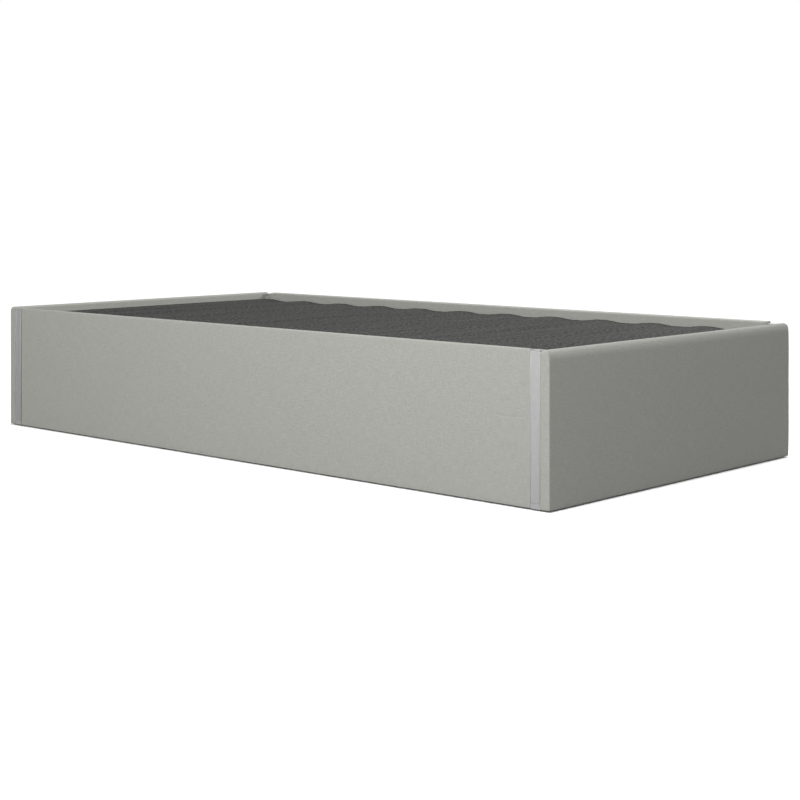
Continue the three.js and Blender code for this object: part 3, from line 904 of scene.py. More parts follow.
@dataclass
class Panel:
    """One upholstered panel: board, foam over its outer face and its edges, and the cloth wrapped round them.

    It is drawn lying along X with its outer face at y = 0 and then turned to its place. Its crown lies
    `crown_low` below the CAD panel's top, and from there the top falls by `crown_drop` inwards.
    """

    side: str
    turn: float
    finished: bool
    seed: int
    crown_low: float
    crown_drop: float
    outer_top_radius: float
    outer_top_stretch: float
    crown_share: float = 0.85
    cloth: float = 1.0 * MM
    foam_inset: float = 2.0 * MM
    foam_fill: float = 0.9
    board_space: float = 0.3 * MM
    board_cover: float = 2.8 * MM
    board_edge: float = 0.5 * MM
    inner_top_radius: float = 3.5 * MM
    outer_bottom_radius: float = 2.0 * MM
    inner_bottom_radius: float = 1.5 * MM
    upright_radius: float = 2.2 * MM
    inner_upright_radius: float = 1.2 * MM
    plain_end_radius: float = 0.4 * MM
    swell: float = 0.7 * MM
    # Ripples by their usual wavelength and height: over the face, along its edges and over the top.
    lie: tuple[float, float] = (190.0 * MM, 0.22 * MM)
    short_lie: tuple[float, float] = (60.0 * MM, 0.05 * MM)
    edge_lie: tuple[float, float] = (22.0 * MM, 0.12 * MM)
    top_lie: tuple[float, float] = (30.0 * MM, 0.1 * MM)
    # How far from an edge they reach, the top's fall, and the flush ends of a side panel's face.
    edge_reach: float = 7.0 * MM
    top_reach: float = 30.0 * MM
    flush_reach: float = 25.0 * MM
    # The puckers behind.
    pucker_pitch: float = 22.5 * MM
    pucker: float = 0.125 * MM
    pucker_reach: float = 9.0 * MM
    back_reach: float = 2.0 * MM
    # What is turned in behind, and how the cloth meets the posts.
    top_return: float = 60.0 * MM
    bottom_return: float = 25.0 * MM
    end_return: float = 25.0 * MM
    end_reach: float = 24.7 * MM
    head_gap: float = 4.2 * MM
    end_room: float = 0.4 * MM
    strip_gap: float = 1.2 * MM
    press: float = 0.5 * MM
    tuck: float = 0.2 * MM
    strip_tuck: float = 0.4 * MM
    tuck_reach: float = 7.0 * MM
    end_swell: float = 3.6 * MM
    end_fade: float = 8.0 * MM
    back_fade: float = 3.0 * MM
    end_top_radius: float = 5.0 * MM
    # Widest spaces between the grid's lines.
    step: float = 6.0 * MM
    depth_step: float = 4.0 * MM
    foam_step: float = 30.0 * MM
    # The pulled line near a post; its grid lines are given in widths of the line.
    crease_height: float = 204.0 * MM
    crease_length: float = 115.0 * MM
    crease_width: float = 2.2 * MM
    crease_depth: float = 0.4 * MM
    crease_sway: float = 0.8 * MM
    crease_swing: float = 9.0
    crease_skew: float = 0.7
    crease_lines: tuple[float, ...] = (-3.0, -1.5, -0.8, 0.0, 0.8, 1.5, 3.0)
    # The staples: their spacing, how far inside the cut edge they sit and where a row begins.
    staple_pitch: float = 45.0 * MM
    staple_inset: float = 6.0 * MM
    staple_clear: float = 12.0 * MM

    def __post_init__(self) -> None:
        """Reads the panel's half length, thickness and heights from its CAD nodes."""
        low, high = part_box(f"{self.side}_cover")
        size = high - low
        self.half = max(size.x, size.y) / 2
        self.depth = min(size.x, size.y)
        self.bottom, self.top = low.z, high.z
        outward = 1 if size.x > size.y else 0
        self.face = max(abs(low[outward]), abs(high[outward]))
        low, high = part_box(f"{self.side}_board")
        size = high - low
        near = self.face - max(abs(low[outward]), abs(high[outward]))
        self.board_low = np.array([-max(size.x, size.y) / 2, near, low.z]) - self.board_space
        self.board_top = min(high.z, self.top - self.crown_low - self.crown_drop - self.board_cover)
        self.board_high = np.array([max(size.x, size.y) / 2, near + min(size.x, size.y), self.board_top])
        self.board_high += self.board_space
        self.crown_peak = self.crown_share * self.outer_top_radius

    def placed(self, points: np.ndarray) -> np.ndarray:
        """Turns points from the panel's own axes to the bed's: a turn about Z after a shift outwards.

        Args:
            points: points in the panel's own axes.

        Returns:
            The points in the bed's axes.
        """
        x, y = points[..., 0], points[..., 1] - self.face
        c, s = math.cos(self.turn), math.sin(self.turn)
        return np.stack([c * x - s * y, s * x + c * y, points[..., 2]], -1)

    def grid(self, inset: float = 0.0, step: float | None = None) -> BoxGrid:
        """The ruled box round the panel, with close lines at its rounds and at the crease.

        Args:
            inset: how far the box lies inside the cloth.
            step: the widest space between two lines, or None for the cloth's own.

        Returns:
            The box.
        """
        step = step or self.step
        low, high = inset, self.depth - inset
        bottom, top = self.bottom + inset, self.top - inset
        half = self.half - inset
        end_round = self.upright_radius if self.finished else self.plain_end_radius
        over = self.outer_top_radius * self.outer_top_stretch
        at_ends = [*round_lines(end_round), *round_lines(self.end_top_radius), self.end_return]
        behind = high - np.array(round_lines(self.inner_top_radius))
        in_depth = [*round_lines(self.outer_top_radius), self.outer_bottom_radius, self.end_reach, *behind]
        crease = self.crease_height + np.array(self.crease_lines) * self.crease_width
        in_height = [
            *(bottom + np.array(round_lines(self.outer_bottom_radius))),
            self.bottom + self.bottom_return,
            *(top - np.array(round_lines(over))),
            top - self.inner_top_radius,
            self.top - self.top_return,
            *(crease if self.side == "left" and not inset else []),
        ]
        return BoxGrid.from_lines(
            ruled(-half, half, step, at_ends),
            ruled(low, high, self.depth_step, (), in_depth),
            ruled(bottom, top, step, (), in_height),
        )

    def shaped(self, flat: np.ndarray, inset: float = 0.0) -> np.ndarray:
        """Rounds the box's edges, lets its top fall inwards and lets the foam swell the outer face.

        The swell is a product of two flat-topped humps, 1 less the eighth power of the place along and
        1 less the sixth power of the place up. Small seeded ripples lie over it and over the edges. Behind,
        a sine wave with two periods to a staple puckers the turned-in cloth along its cut edges.

        Args:
            flat: points of the ruled box.
            inset: how far that box lies inside the cloth.

        Returns:
            The shaped points, in the panel's own axes.
        """
        half, back = self.half - inset, self.depth - inset
        top, bottom = self.top - inset, self.bottom + inset
        x, y, z = flat.T.copy()
        stretch = self.outer_top_stretch
        y, up = rounded(y - inset, top - z, self.outer_top_radius - inset, stretch)
        y, down = rounded(y, top - up - bottom, self.outer_bottom_radius - inset)
        inner, up = rounded(back - inset - y, top - bottom - down, self.inner_top_radius)
        inner, down = rounded(inner, top - bottom - up, self.inner_bottom_radius)
        y, z = back - inner, bottom + down

        side, out = np.sign(x), half - np.abs(x)
        if self.finished:
            out, front = rounded(out, y - inset, self.upright_radius)
            y = front + inset
            out, up = rounded(out, top - z, self.end_top_radius - inset)
            out, down = rounded(out, top - up - bottom, self.outer_bottom_radius - inset)
            z = bottom + down
            out, inner = rounded(out, back - y, self.inner_upright_radius)
            y = back - inner
        else:
            out, front = rounded(out, y - inset, self.plain_end_radius)
            y = front + inset
        x = side * (half - out)

        high = (z - bottom) / (top - bottom) * 2 - 1
        hump = (1 - np.abs(x / half) ** 8) * (1 - np.abs(high) ** 6)
        front = eased(1 - y / (self.depth / 2))
        edge = np.exp(-np.minimum(top - z, half - np.abs(x)) / self.edge_reach)
        lie = self.unevenness(x, z, self.lie, 0) + self.unevenness(x, z, self.short_lie, 1)
        fret = self.unevenness(x, z + y, self.edge_lie, 2) * edge
        flush = 1.0 if self.finished else eased((half - np.abs(x)) / self.flush_reach)
        y = y - front * ((self.swell * hump + lie) + fret) * flush
        y = y + front * self.crease(x, z)

        over_top = eased((z - top + self.top_reach) / self.top_reach)
        fall = np.clip((y - self.crown_peak) / (self.depth - self.crown_peak), 0, 1)
        z = z - over_top * (self.crown_low + self.crown_drop * fall + self.unevenness(x, y, self.top_lie, 3))
        behind = eased((y - self.depth + self.back_reach) / self.back_reach)
        pucker = np.sin(x * 2 * np.pi / self.pucker_pitch) * self.pucker
        above, below = z - self.top + self.top_return, z - self.bottom - self.bottom_return
        away = np.minimum(np.abs(above), np.abs(below))
        y = y + behind * pucker * np.exp(-away / self.pucker_reach)
        x, y = self.beside_post(x, y, high, half)
        return np.stack([x, y, z], -1)

    def unevenness(self, u: np.ndarray, v: np.ndarray, wave: tuple[float, float], number: int) -> np.ndarray:
        """A ripple of this panel's own.

        Args:
            u: first place on the surface.
            v: second place on the surface.
            wave: its usual wavelength and its height.
            number: which of the panel's ripples it is, counted from its seed.

        Returns:
            Heights about zero.
        """
        length, height = wave
        return ripple(u, v, length, self.seed + number) * height

    def beside_post(
        self, x: np.ndarray, y: np.ndarray, high: np.ndarray, half: float
    ) -> tuple[np.ndarray, np.ndarray]:
        """Draws the cloth in beside the posts, where it is pulled tight round the board's edge.

        On an end panel the strips beside the posts lie a little deeper. The foot panel's right end swells
        outwards by 1 less the fourth power of the height. A side panel's face dips at the foot end. At the
        foot the cloth is pressed against the posts, and at the head it stops short of them.

        Args:
            x: places along the panel.
            y: depths behind the face.
            high: heights, from -1 at the bottom to 1 at the top.
            half: half the length of the box.

        Returns:
            The new places and depths.
        """
        to_end = half - np.abs(x)
        at_end = eased(1 - to_end / self.end_fade)
        if self.finished:
            inner = eased((y - self.depth + self.tuck_reach) / self.tuck_reach)
            swollen = (x > 0) & (self.side == "foot")
            bulge = self.end_swell * (1 - high**4) * (1 - inner) * swollen
            x = x + np.sign(x) * at_end * (bulge - self.strip_tuck * inner)
            turned_in = eased((self.end_return + self.back_fade - to_end) / self.back_fade)
            back = eased(1 - (self.depth - y) / self.back_fade) * turned_in
            return x, y + (self.press if self.side == "foot" else -self.strip_gap) * back
        foot = 1.0 if self.side == "left" else -1.0
        front = eased(1 - y / (self.depth / 2))
        dip = self.tuck * eased((x * foot - half + self.tuck_reach) / self.tuck_reach)
        longer = np.where(x * foot > 0, self.press, -self.head_gap) * at_end
        return x + np.sign(x) * longer, y + front * dip

    def crease(self, x: np.ndarray, z: np.ndarray) -> np.ndarray:
        """A shallow pulled line near the foot-end post of the left side: a narrow groove that fades along.

        The groove is a bell curve of the height and a half sine wave of the place along, drawn out towards
        the post. Its line sways by a sine wave.

        Args:
            x: places along the panel.
            z: heights.

        Returns:
            Depths of the groove, nothing on the other panels.
        """
        if self.side != "left":
            return np.zeros_like(x)
        along = np.clip((x - (self.half - self.crease_length)) / self.crease_length, 0, 1)
        line = self.crease_height + self.crease_sway * np.sin(along * self.crease_swing)
        bell = np.exp(-(((z - line) / self.crease_width) ** 2))
        return self.crease_depth * np.sin(np.pi * along**self.crease_skew) * bell

    def cloth_map(self, grid: BoxGrid) -> np.ndarray:
        """Each quad corner's place on the flat cloth: the distance along, and the distance round the section.

        Args:
            grid: the cloth's ruled box.

        Returns:
            Two distances for each corner of each quad.
        """
        x, y, z = np.moveaxis(grid.points[grid.quads], -1, 0)
        middle = (self.bottom + self.top) / 2
        front, inner = (grid.axis == 1) & ~grid.high, (grid.axis == 1) & grid.high
        above, ends = (grid.axis == 2) & grid.high, grid.axis == 0
        upper, lower = 2 * self.top + self.depth - z, 2 * self.bottom - self.depth - z
        behind = np.where(z.mean(1, keepdims=True) > middle, upper, lower)
        v = np.where(above[:, None], self.top + y, self.bottom - y)
        v = np.where(inner[:, None], behind, v)
        v = np.where((front | ends)[:, None], z, v)
        u = np.where(ends[:, None], np.sign(x) * (self.half + y), x)
        return np.stack([u, v], -1)

    def window(self, grid: BoxGrid) -> np.ndarray:
        """Which quads stay: all but the open back. On a side panel nothing is turned in behind its ends.

        Args:
            grid: the cloth's ruled box.

        Returns:
            True for each quad that the cloth keeps.
        """
        x, y, z = np.moveaxis(grid.points[grid.quads].mean(1), -1, 0)
        level = (z > self.bottom + self.bottom_return) & (z < self.top - self.top_return)
        open_half = self.half - self.end_return if self.finished else self.half
        back = (grid.axis == 1) & grid.high & (np.abs(x) < open_half) & level
        bare = (grid.axis == 0) & (y > self.end_reach) & level & (not self.finished)
        return ~(back | bare)

    @property
    def trim(self) -> float:
        """How much shorter board and foam are at both ends, to let cloth fit over a side panel's ends."""
        return 0.0 if self.finished else self.cloth + self.head_gap + self.end_room

    def build_board(self, finishes: Finishes) -> None:
        """The board, with its sawn edges eased. It ends a little below the cloth where the top falls inwards.

        Args:
            finishes: the bed's finishes.
        """
        node = f"{self.side}_board"
        name = f"{self.side}_panel_board"
        board = softened_copy(node, name, self.board_edge, trim=self.trim, top=self.board_top)
        settle(board, "box", finishes.board, [node])

    def build_foam(self, finishes: Finishes) -> None:
        """The foam: everything between the shaped box, a little inside the cloth, and the board.

        Args:
            finishes: the bed's finishes.
        """
        grid = self.grid(self.foam_inset, self.foam_step)
        keep = ~((grid.axis == 1) & grid.high) & ~((grid.axis == 2) & ~grid.high)
        if not self.finished:
            keep &= grid.axis != 0
        outer = self.shaped(grid.points, self.foam_inset)
        limit = self.half - self.foam_inset - self.trim
        if not self.finished:
            outer[:, 0] = outer[:, 0].clip(-limit, limit)
        low, high = self.board_low.copy(), self.board_high.copy()
        low[2], high[1] = self.bottom + self.foam_inset, self.depth - self.foam_inset
        if not self.finished:
            low[0], high[0] = -limit, limit
        inner = grid.points.clip(low, high)
        used, numbers = np.unique(grid.quads[keep], return_inverse=True)
        body = lined(self.placed(outer[used]), self.placed(inner[used]), numbers.reshape(-1, 4))
        piece = body.build(f"{self.side}_panel_foam", merge=True)
        settle(piece, "box", finishes.foam, [f"{self.side}_foam"])

    def build_cloth(self, finishes: Finishes) -> None:
        """The cloth: a skin with thickness.

        Args:
            finishes: the bed's finishes.
        """
        grid = self.grid()
        surface = grid.surface(self.placed(self.shaped(grid.points)), self.window(grid), self.cloth_map(grid))
        piece = surface.build(f"{self.side}_panel_cloth")
        skin = piece.modifiers.new("skin", "SOLIDIFY")
        skin.thickness, skin.offset, skin.use_even_offset = self.cloth, -1.0, True
        settle(piece, "box", finishes.upholstery, [f"{self.side}_cover"])

    def staples(self) -> tuple[np.ndarray, np.ndarray]:
        """The staples that hold the turned-in edges, a row above and a row below.

        Returns:
            Their places and their turns.
        """
        reach = self.half - (self.end_return + self.staple_clear)
        along = np.linspace(-reach, reach, round(2 * reach / self.staple_pitch) + 1)
        upper = self.top - self.top_return + self.staple_inset
        heights = (upper, self.bottom + self.bottom_return - self.staple_inset)
        deep = np.full_like(along, self.depth)
        rows = [np.stack([along, deep, np.full_like(along, height)], -1) for height in heights]
        places = self.placed(np.concatenate(rows))
        return places, np.broadcast_to(about_z(self.turn), (len(places), 3, 3))


@dataclass
class Upholstery:
    """The four covered panels: cloth, foam, board and the staples behind."""

    finishes: Finishes
    staple_width: float = 10.0 * MM
    staple_wire: float = 1.2 * MM
    wire_round: float = 0.8

    def panels(self) -> list[Panel]:
        """The panels, each with its turn about Z. An end panel is rounder over the top and has finished ends.

        Returns:
            The four panels.
        """
        end_panel = {"finished": True, "outer_top_radius": 13.0 * MM, "outer_top_stretch": 2.0}
        side_panel = {"finished": False, "outer_top_radius": 3.5 * MM, "outer_top_stretch": 1.2}
        return [
            Panel("foot", 0.0, seed=11, crown_low=2.0 * MM, crown_drop=3.6 * MM, **end_panel),
            Panel("head", math.pi, seed=23, crown_low=-0.4 * MM, crown_drop=2.4 * MM, **end_panel),
            Panel("left", -math.pi / 2, seed=37, crown_low=1.5 * MM, crown_drop=3.6 * MM, **side_panel),
            Panel("right", math.pi / 2, seed=51, crown_low=-0.4 * MM, crown_drop=1.5 * MM, **side_panel),
        ]

    def build(self) -> None:
        """Builds the panels from the inside out."""
        places, turns = [], []
        for panel in self.panels():
            panel.build_board(self.finishes)
            panel.build_foam(self.finishes)
            panel.build_cloth(self.finishes)
            more_places, more_turns = panel.staples()
            places.append(more_places)
            turns.append(more_turns)
        wire, wide = self.staple_wire / 2, self.staple_width / 2
        staple = rounded_bar((-wide, -wire, -wire), (wide, wire, wire), wire * self.wire_round)
        piece = staple.repeated(np.concatenate(places), np.concatenate(turns)).build("panel_staples")
        settle(piece, "box", self.finishes.zinc)


# Corners


@dataclass
class Corners:
    """Posts, caps, plugs, levelling feet, brackets and bolts, with the small screws that hold them."""

    finishes: Finishes
    edge: float = 0.4 * MM
    cap_edge: float = 0.12 * MM
    bracket_edge: float = 0.5 * MM
    # The ribs: their section, how they grow from both ends, and how deep they sit in the post.
    rib_width: float = 2.0 * MM
    rib_height: float = 0.45 * MM
    rib_inset: float = 1.2 * MM
    rib_sink: float = 0.05 * MM
    rib_ends: tuple[float, ...] = (0.0, 0.4 * MM, 1.2 * MM)
    rib_growth: tuple[float, ...] = (0.0, 0.7, 1.0)
    rib_steps: int = 9
    # The levelling foot: a sole with a shallow ring underneath, and a threaded stem.
    sole_thick: float = 4.0 * MM
    sole_edge: float = 0.9 * MM
    edge_ease: float = 0.3
    sole_groove: float = 0.3 * MM
    groove_shares: tuple[float, float, float] = (0.45, 0.5, 0.6)
    sole_neck: float = 1.3
    stem_radius: float = 4.0 * MM
    stem_sink: float = 1.0 * MM
    stem_lead: float = 2.0 * MM
    thread_pitch: float = 1.25 * MM
    thread_depth: float = 0.6 * MM
    thread_sides: int = 24
    thread_steps: int = 4
    turned_sides: int = 48
    # The bolts. Points of the head's round lie in from the rim and down from the top by these distances.
    bolt_head: float = 4.5 * MM
    bolt_shank: float = 4.0 * MM
    bolt_edge: float = 0.5 * MM
    bolt_round: tuple[tuple[float, float], ...] = (
        (0.0, 1.6 * MM), (0.4 * MM, 1.0 * MM), (1.6 * MM, 0.2 * MM), (2.6 * MM, 0.0)
    )
    socket_across: float = 6.0 * MM
    socket_depth: float = 3.0 * MM
    socket_land: float = 1.3
    socket_flare: float = 1.04
    socket_chamfer: float = 0.3 * MM
    socket_point: float = 0.6 * MM
    # The wood screws: a domed head on rings of these shares of its radius, a cross recess, and their places.
    screw_radius: float = 4.2 * MM
    screw_rings: tuple[float, ...] = (1.0, 1.0, 0.93, 0.8, 0.62, 0.5, 0.38, 0.26, 0.14, 0.0)
    screw_sides: int = 32
    screw_dome: float = 1.9 * MM
    dome_share: float = 0.75
    recess_depth: float = 1.2 * MM
    recess_reach: float = 0.66
    recess_end: float = 0.8 * MM
    recess_width: float = 0.75 * MM
    recess_wall: float = 0.35 * MM
    screw_lift: float = 3.3 * MM
    screw_margin: float = 20.0 * MM
    screw_place: float = 0.6
    screws_each: int = 3
    names: tuple[str, ...] = ("foot_left", "foot_right", "head_left", "head_right")

    def build(self) -> None:
        """Builds the four corners."""
        for name in self.names:
            self.plain_parts(name)
            self.ribs(name)
            self.levelling_foot(name)
            for level in ("lower", "upper"):
                self.bolt(f"bracket_bolt_{name}_{level}", name)
        self.bracket_screws()

    def plain_parts(self, name: str) -> None:
        """Post, cap, plug and bracket: the CAD shapes with eased edges.

        Args:
            name: name of the corner.
        """
        f = self.finishes
        for node, material, slot, width in (
            ("corner_post", f.aluminium, "aluminium", self.edge),
            ("post_cap", f.cap_plastic, "cap_plastic", self.cap_edge),
            ("post_plug", f.cap_plastic, "cap_plastic", self.edge),
            ("corner_bracket", f.zinc, "zinc_steel", self.bracket_edge),
        ):
            piece = softened_copy(f"{node}_{name}", f"{node}_{name}_eased", width)
            settle(piece, "box", material, [f"{node}_{name}"])

    def ribs(self, name: str) -> None:
        """The two fine ribs of the extrusion, one along each edge of the post's outer face.

        A rib is half an ellipse in section, run up the post and drawn in to nothing at both ends.

        Args:
            name: name of the corner.
        """
        low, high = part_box(f"corner_post_{name}")
        outwards = -1.0 if "left" in name else 1.0
        face = low.x if outwards < 0 else high.x
        angle = np.linspace(-0.5, 0.5, self.rib_steps) * np.pi
        ends, growth = np.array(self.rib_ends), np.array(self.rib_growth)
        heights = np.concatenate([low.z + ends, high.z - ends[::-1]])
        grown, turn = np.meshgrid(np.concatenate([growth, growth[::-1]]), angle, indexing="ij")
        rise = np.repeat(heights[:, None], len(angle), 1)
        bands = []
        for edge in (low.y + self.rib_inset, high.y - self.rib_inset):
            out = face + outwards * (self.rib_height * np.cos(turn) * grown - self.rib_sink)
            across = edge + self.rib_width / 2 * np.sin(turn) * grown
            bands.append(np.stack([out, across, rise], -1).reshape(-1, 3))
        quads = ring_quads(len(heights), len(angle))
        quads = np.concatenate([quads, quads + len(bands[0])])
        piece = Surface(np.concatenate(bands), quads).build(f"corner_post_{name}_ribs", merge=True)
        settle(piece, "box", self.finishes.aluminium)

    def levelling_foot(self, name: str) -> None:
        """A moulded sole, turned, with a steel stem whose thread is a triangle wave wound about it.

        Args:
            name: name of the corner.
        """
        node, body = f"levelling_foot_{name}", f"foot_screw_{name}"
        low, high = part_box(node)
        middle = (low + high) / 2
        radius, thick, stem = (high.x - low.x) / 2, self.sole_thick, self.stem_radius
        inner, lowest, outer = (radius * share for share in self.groove_shares)
        e, ease = self.sole_edge, self.sole_edge * self.edge_ease
        profile = [
            (0, 0), (inner, 0), (lowest, self.sole_groove), (outer, 0),
            (radius - e, 0), (radius - ease, ease), (radius, e),
            (radius, thick - e), (radius - ease, thick - ease), (radius - e, thick),
            (stem * self.sole_neck, thick), (0, thick),
        ]
        sole = turned(profile, self.turned_sides)
        sole.points += (middle.x, middle.y, low.z)
        piece = sole.build(f"{node}_sole", merge=True)
        settle(piece, body, self.finishes.foot_plastic, [node])
        screw = self.threaded(stem, low.z + thick - self.stem_sink, high.z)
        screw.points += (middle.x, middle.y, 0.0)
        settle(screw.build(f"{node}_stem", merge=True), body, self.finishes.zinc)

    def threaded(self, radius: float, bottom: float, top: float) -> Surface:
        """A threaded rod: the radius falls by the thread's depth as a triangle wave of height less angle.

        Args:
            radius: radius over the thread.
            bottom: height of its lower end.
            top: height of its upper end, where the thread fades out.

        Returns:
            The closed surface about the Z axis.
        """
        sides = self.thread_sides
        heights = ruled(bottom, top, self.thread_pitch / self.thread_steps)
        angle = np.linspace(0, 2 * np.pi, sides, endpoint=False)
        phase = (heights[:, None] / self.thread_pitch - angle / (2 * np.pi)) % 1.0
        deep = np.abs(phase * 2 - 1) * eased((top - heights) / self.stem_lead)[:, None]
        around = radius - self.thread_depth * deep
        around[-1] -= self.thread_depth
        rise = np.repeat(heights[:, None], sides, 1)
        ring = np.stack([around * np.cos(angle), around * np.sin(angle), rise], -1)
        poles = [np.broadcast_to((0.0, 0.0, z), (1, sides, 3)) for z in (bottom, top)]
        points = np.concatenate([poles[0], ring, poles[1]]).reshape(-1, 3)
        return Surface(points, ring_quads(len(heights) + 2, sides))

    def bolt(self, node: str, corner: str) -> None:
        """A flat-headed furniture bolt with a hexagonal socket, turned about its own axis.

        In the socket the radius is the hexagon's: half its width over the cosine of the angle from the
        nearest flat's middle.

        Args:
            node: name of the bolt's CAD node.
            corner: name of its corner.
        """
        low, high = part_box(node)
        middle = (low + high) / 2
        head, length = (high.x - low.x) / 2, high.y - low.y
        thick, shank, e = self.bolt_head, self.bolt_shank, self.bolt_edge
        angle = np.linspace(0, 2 * np.pi, self.turned_sides, endpoint=False)
        hexagon = 1 / np.cos((angle + np.pi / 6) % (np.pi / 3) - np.pi / 6)
        across, deep = self.socket_across / 2, self.socket_depth
        profile = [
            (0, -length), (shank - e, -length), (shank, e - length), (shank, -thick),
            (head - e, -thick), (head, e - thick), *((head - rim, -down) for rim, down in self.bolt_round),
            (across * self.socket_land, 0), (-across * self.socket_flare, 0), (-across, -self.socket_chamfer),
            (-across, -deep), (0, -deep - self.socket_point),
        ]
        shape = turned(profile, self.turned_sides, hexagon)
        inwards = 1.0 if corner.startswith("foot") else -1.0
        x, y, z = shape.points.T
        top = high.y if inwards > 0 else low.y
        shape.points = np.stack([x * inwards + middle.x, z * inwards + top, y + middle.z], -1)
        settle(shape.build(f"{node}_turned", merge=True), "box", self.finishes.zinc, [node])

    def screw_head(self) -> Surface:
        """A pan head with a cross recess, on a polar grid.

        Its height is a flat dome; within the recess's reach it is lower where either place is near an axis.

        Returns:
            The head, its axis along Z.
        """
        share = np.array(self.screw_rings)
        angle = np.linspace(0, 2 * np.pi, self.screw_sides, endpoint=False)
        r, a = np.meshgrid(share * self.screw_radius, angle, indexing="ij")
        x, y = r * np.cos(a), r * np.sin(a)
        dome = self.screw_dome * np.sqrt(1 - (r / self.screw_radius) ** 2 * self.dome_share)
        dome[0] = 0.0
        reach = eased((self.recess_reach * self.screw_radius - r) / self.recess_end)
        cross = eased((self.recess_width - np.minimum(np.abs(x), np.abs(y))) / self.recess_wall)
        z = dome - self.recess_depth * reach * cross
        points = np.stack([x, y, z], -1).reshape(-1, 3)
        return Surface(points, ring_quads(len(share), len(angle)))

    def bracket_screws(self) -> None:
        """Three screws through the long leg of each bracket into the side board."""
        places, turns = [], []
        for name in self.names:
            low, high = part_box(f"corner_bracket_{name}")
            post_low, post_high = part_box(f"corner_post_{name}")
            inwards = 1.0 if "left" in name else -1.0
            x = (low.x if inwards > 0 else high.x) + inwards * self.screw_lift
            far = high.y if "foot" in name else low.y
            near = post_high.y if "foot" in name else post_low.y
            heights = np.linspace(low.z + self.screw_margin, high.z - self.screw_margin, self.screws_each)
            y = near + (far - near) * self.screw_place
            places.append(np.stack([np.full_like(heights, x), np.full_like(heights, y), heights], -1))
            turns.append(np.broadcast_to(facing_x(inwards), (len(heights), 3, 3)))
        heads = self.screw_head().repeated(np.concatenate(places), np.concatenate(turns))
        settle(heads.build("bracket_screws", merge=True), "box", self.finishes.zinc)


@dataclass
class Bearers:
    """Black steel angles on the side boards, with their screws."""

    finishes: Finishes
    screw: Surface
    screws_each: int = 9
    edge: float = 0.7 * MM
    edge_steps: int = 3
    screw_lift: float = 3.05 * MM
    screw_margin: float = 40.0 * MM
    screw_height: float = 12.0 * MM

    def build(self) -> None:
        """Builds both bearers and the row of screws through each upright leg."""
        places, turns = [], []
        for side, inwards in (("left", 1.0), ("right", -1.0)):
            piece = softened_copy(f"bearer_{side}", f"bearer_{side}_eased", self.edge, self.edge_steps)
            settle(piece, "box", self.finishes.black_steel, [f"bearer_{side}"])
            low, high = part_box(f"bearer_{side}")
            x = (low.x if inwards > 0 else high.x) + inwards * self.screw_lift
            along = np.linspace(low.y + self.screw_margin, high.y - self.screw_margin, self.screws_each)
            height = np.full_like(along, low.z + self.screw_height)
            places.append(np.stack([np.full_like(along, x), along, height], -1))
            turns.append(np.broadcast_to(facing_x(inwards), (len(along), 3, 3)))
        heads = self.screw.repeated(np.concatenate(places), np.concatenate(turns))
        settle(heads.build("bearer_screws", merge=True), "box", self.finishes.zinc)


# Slatted base


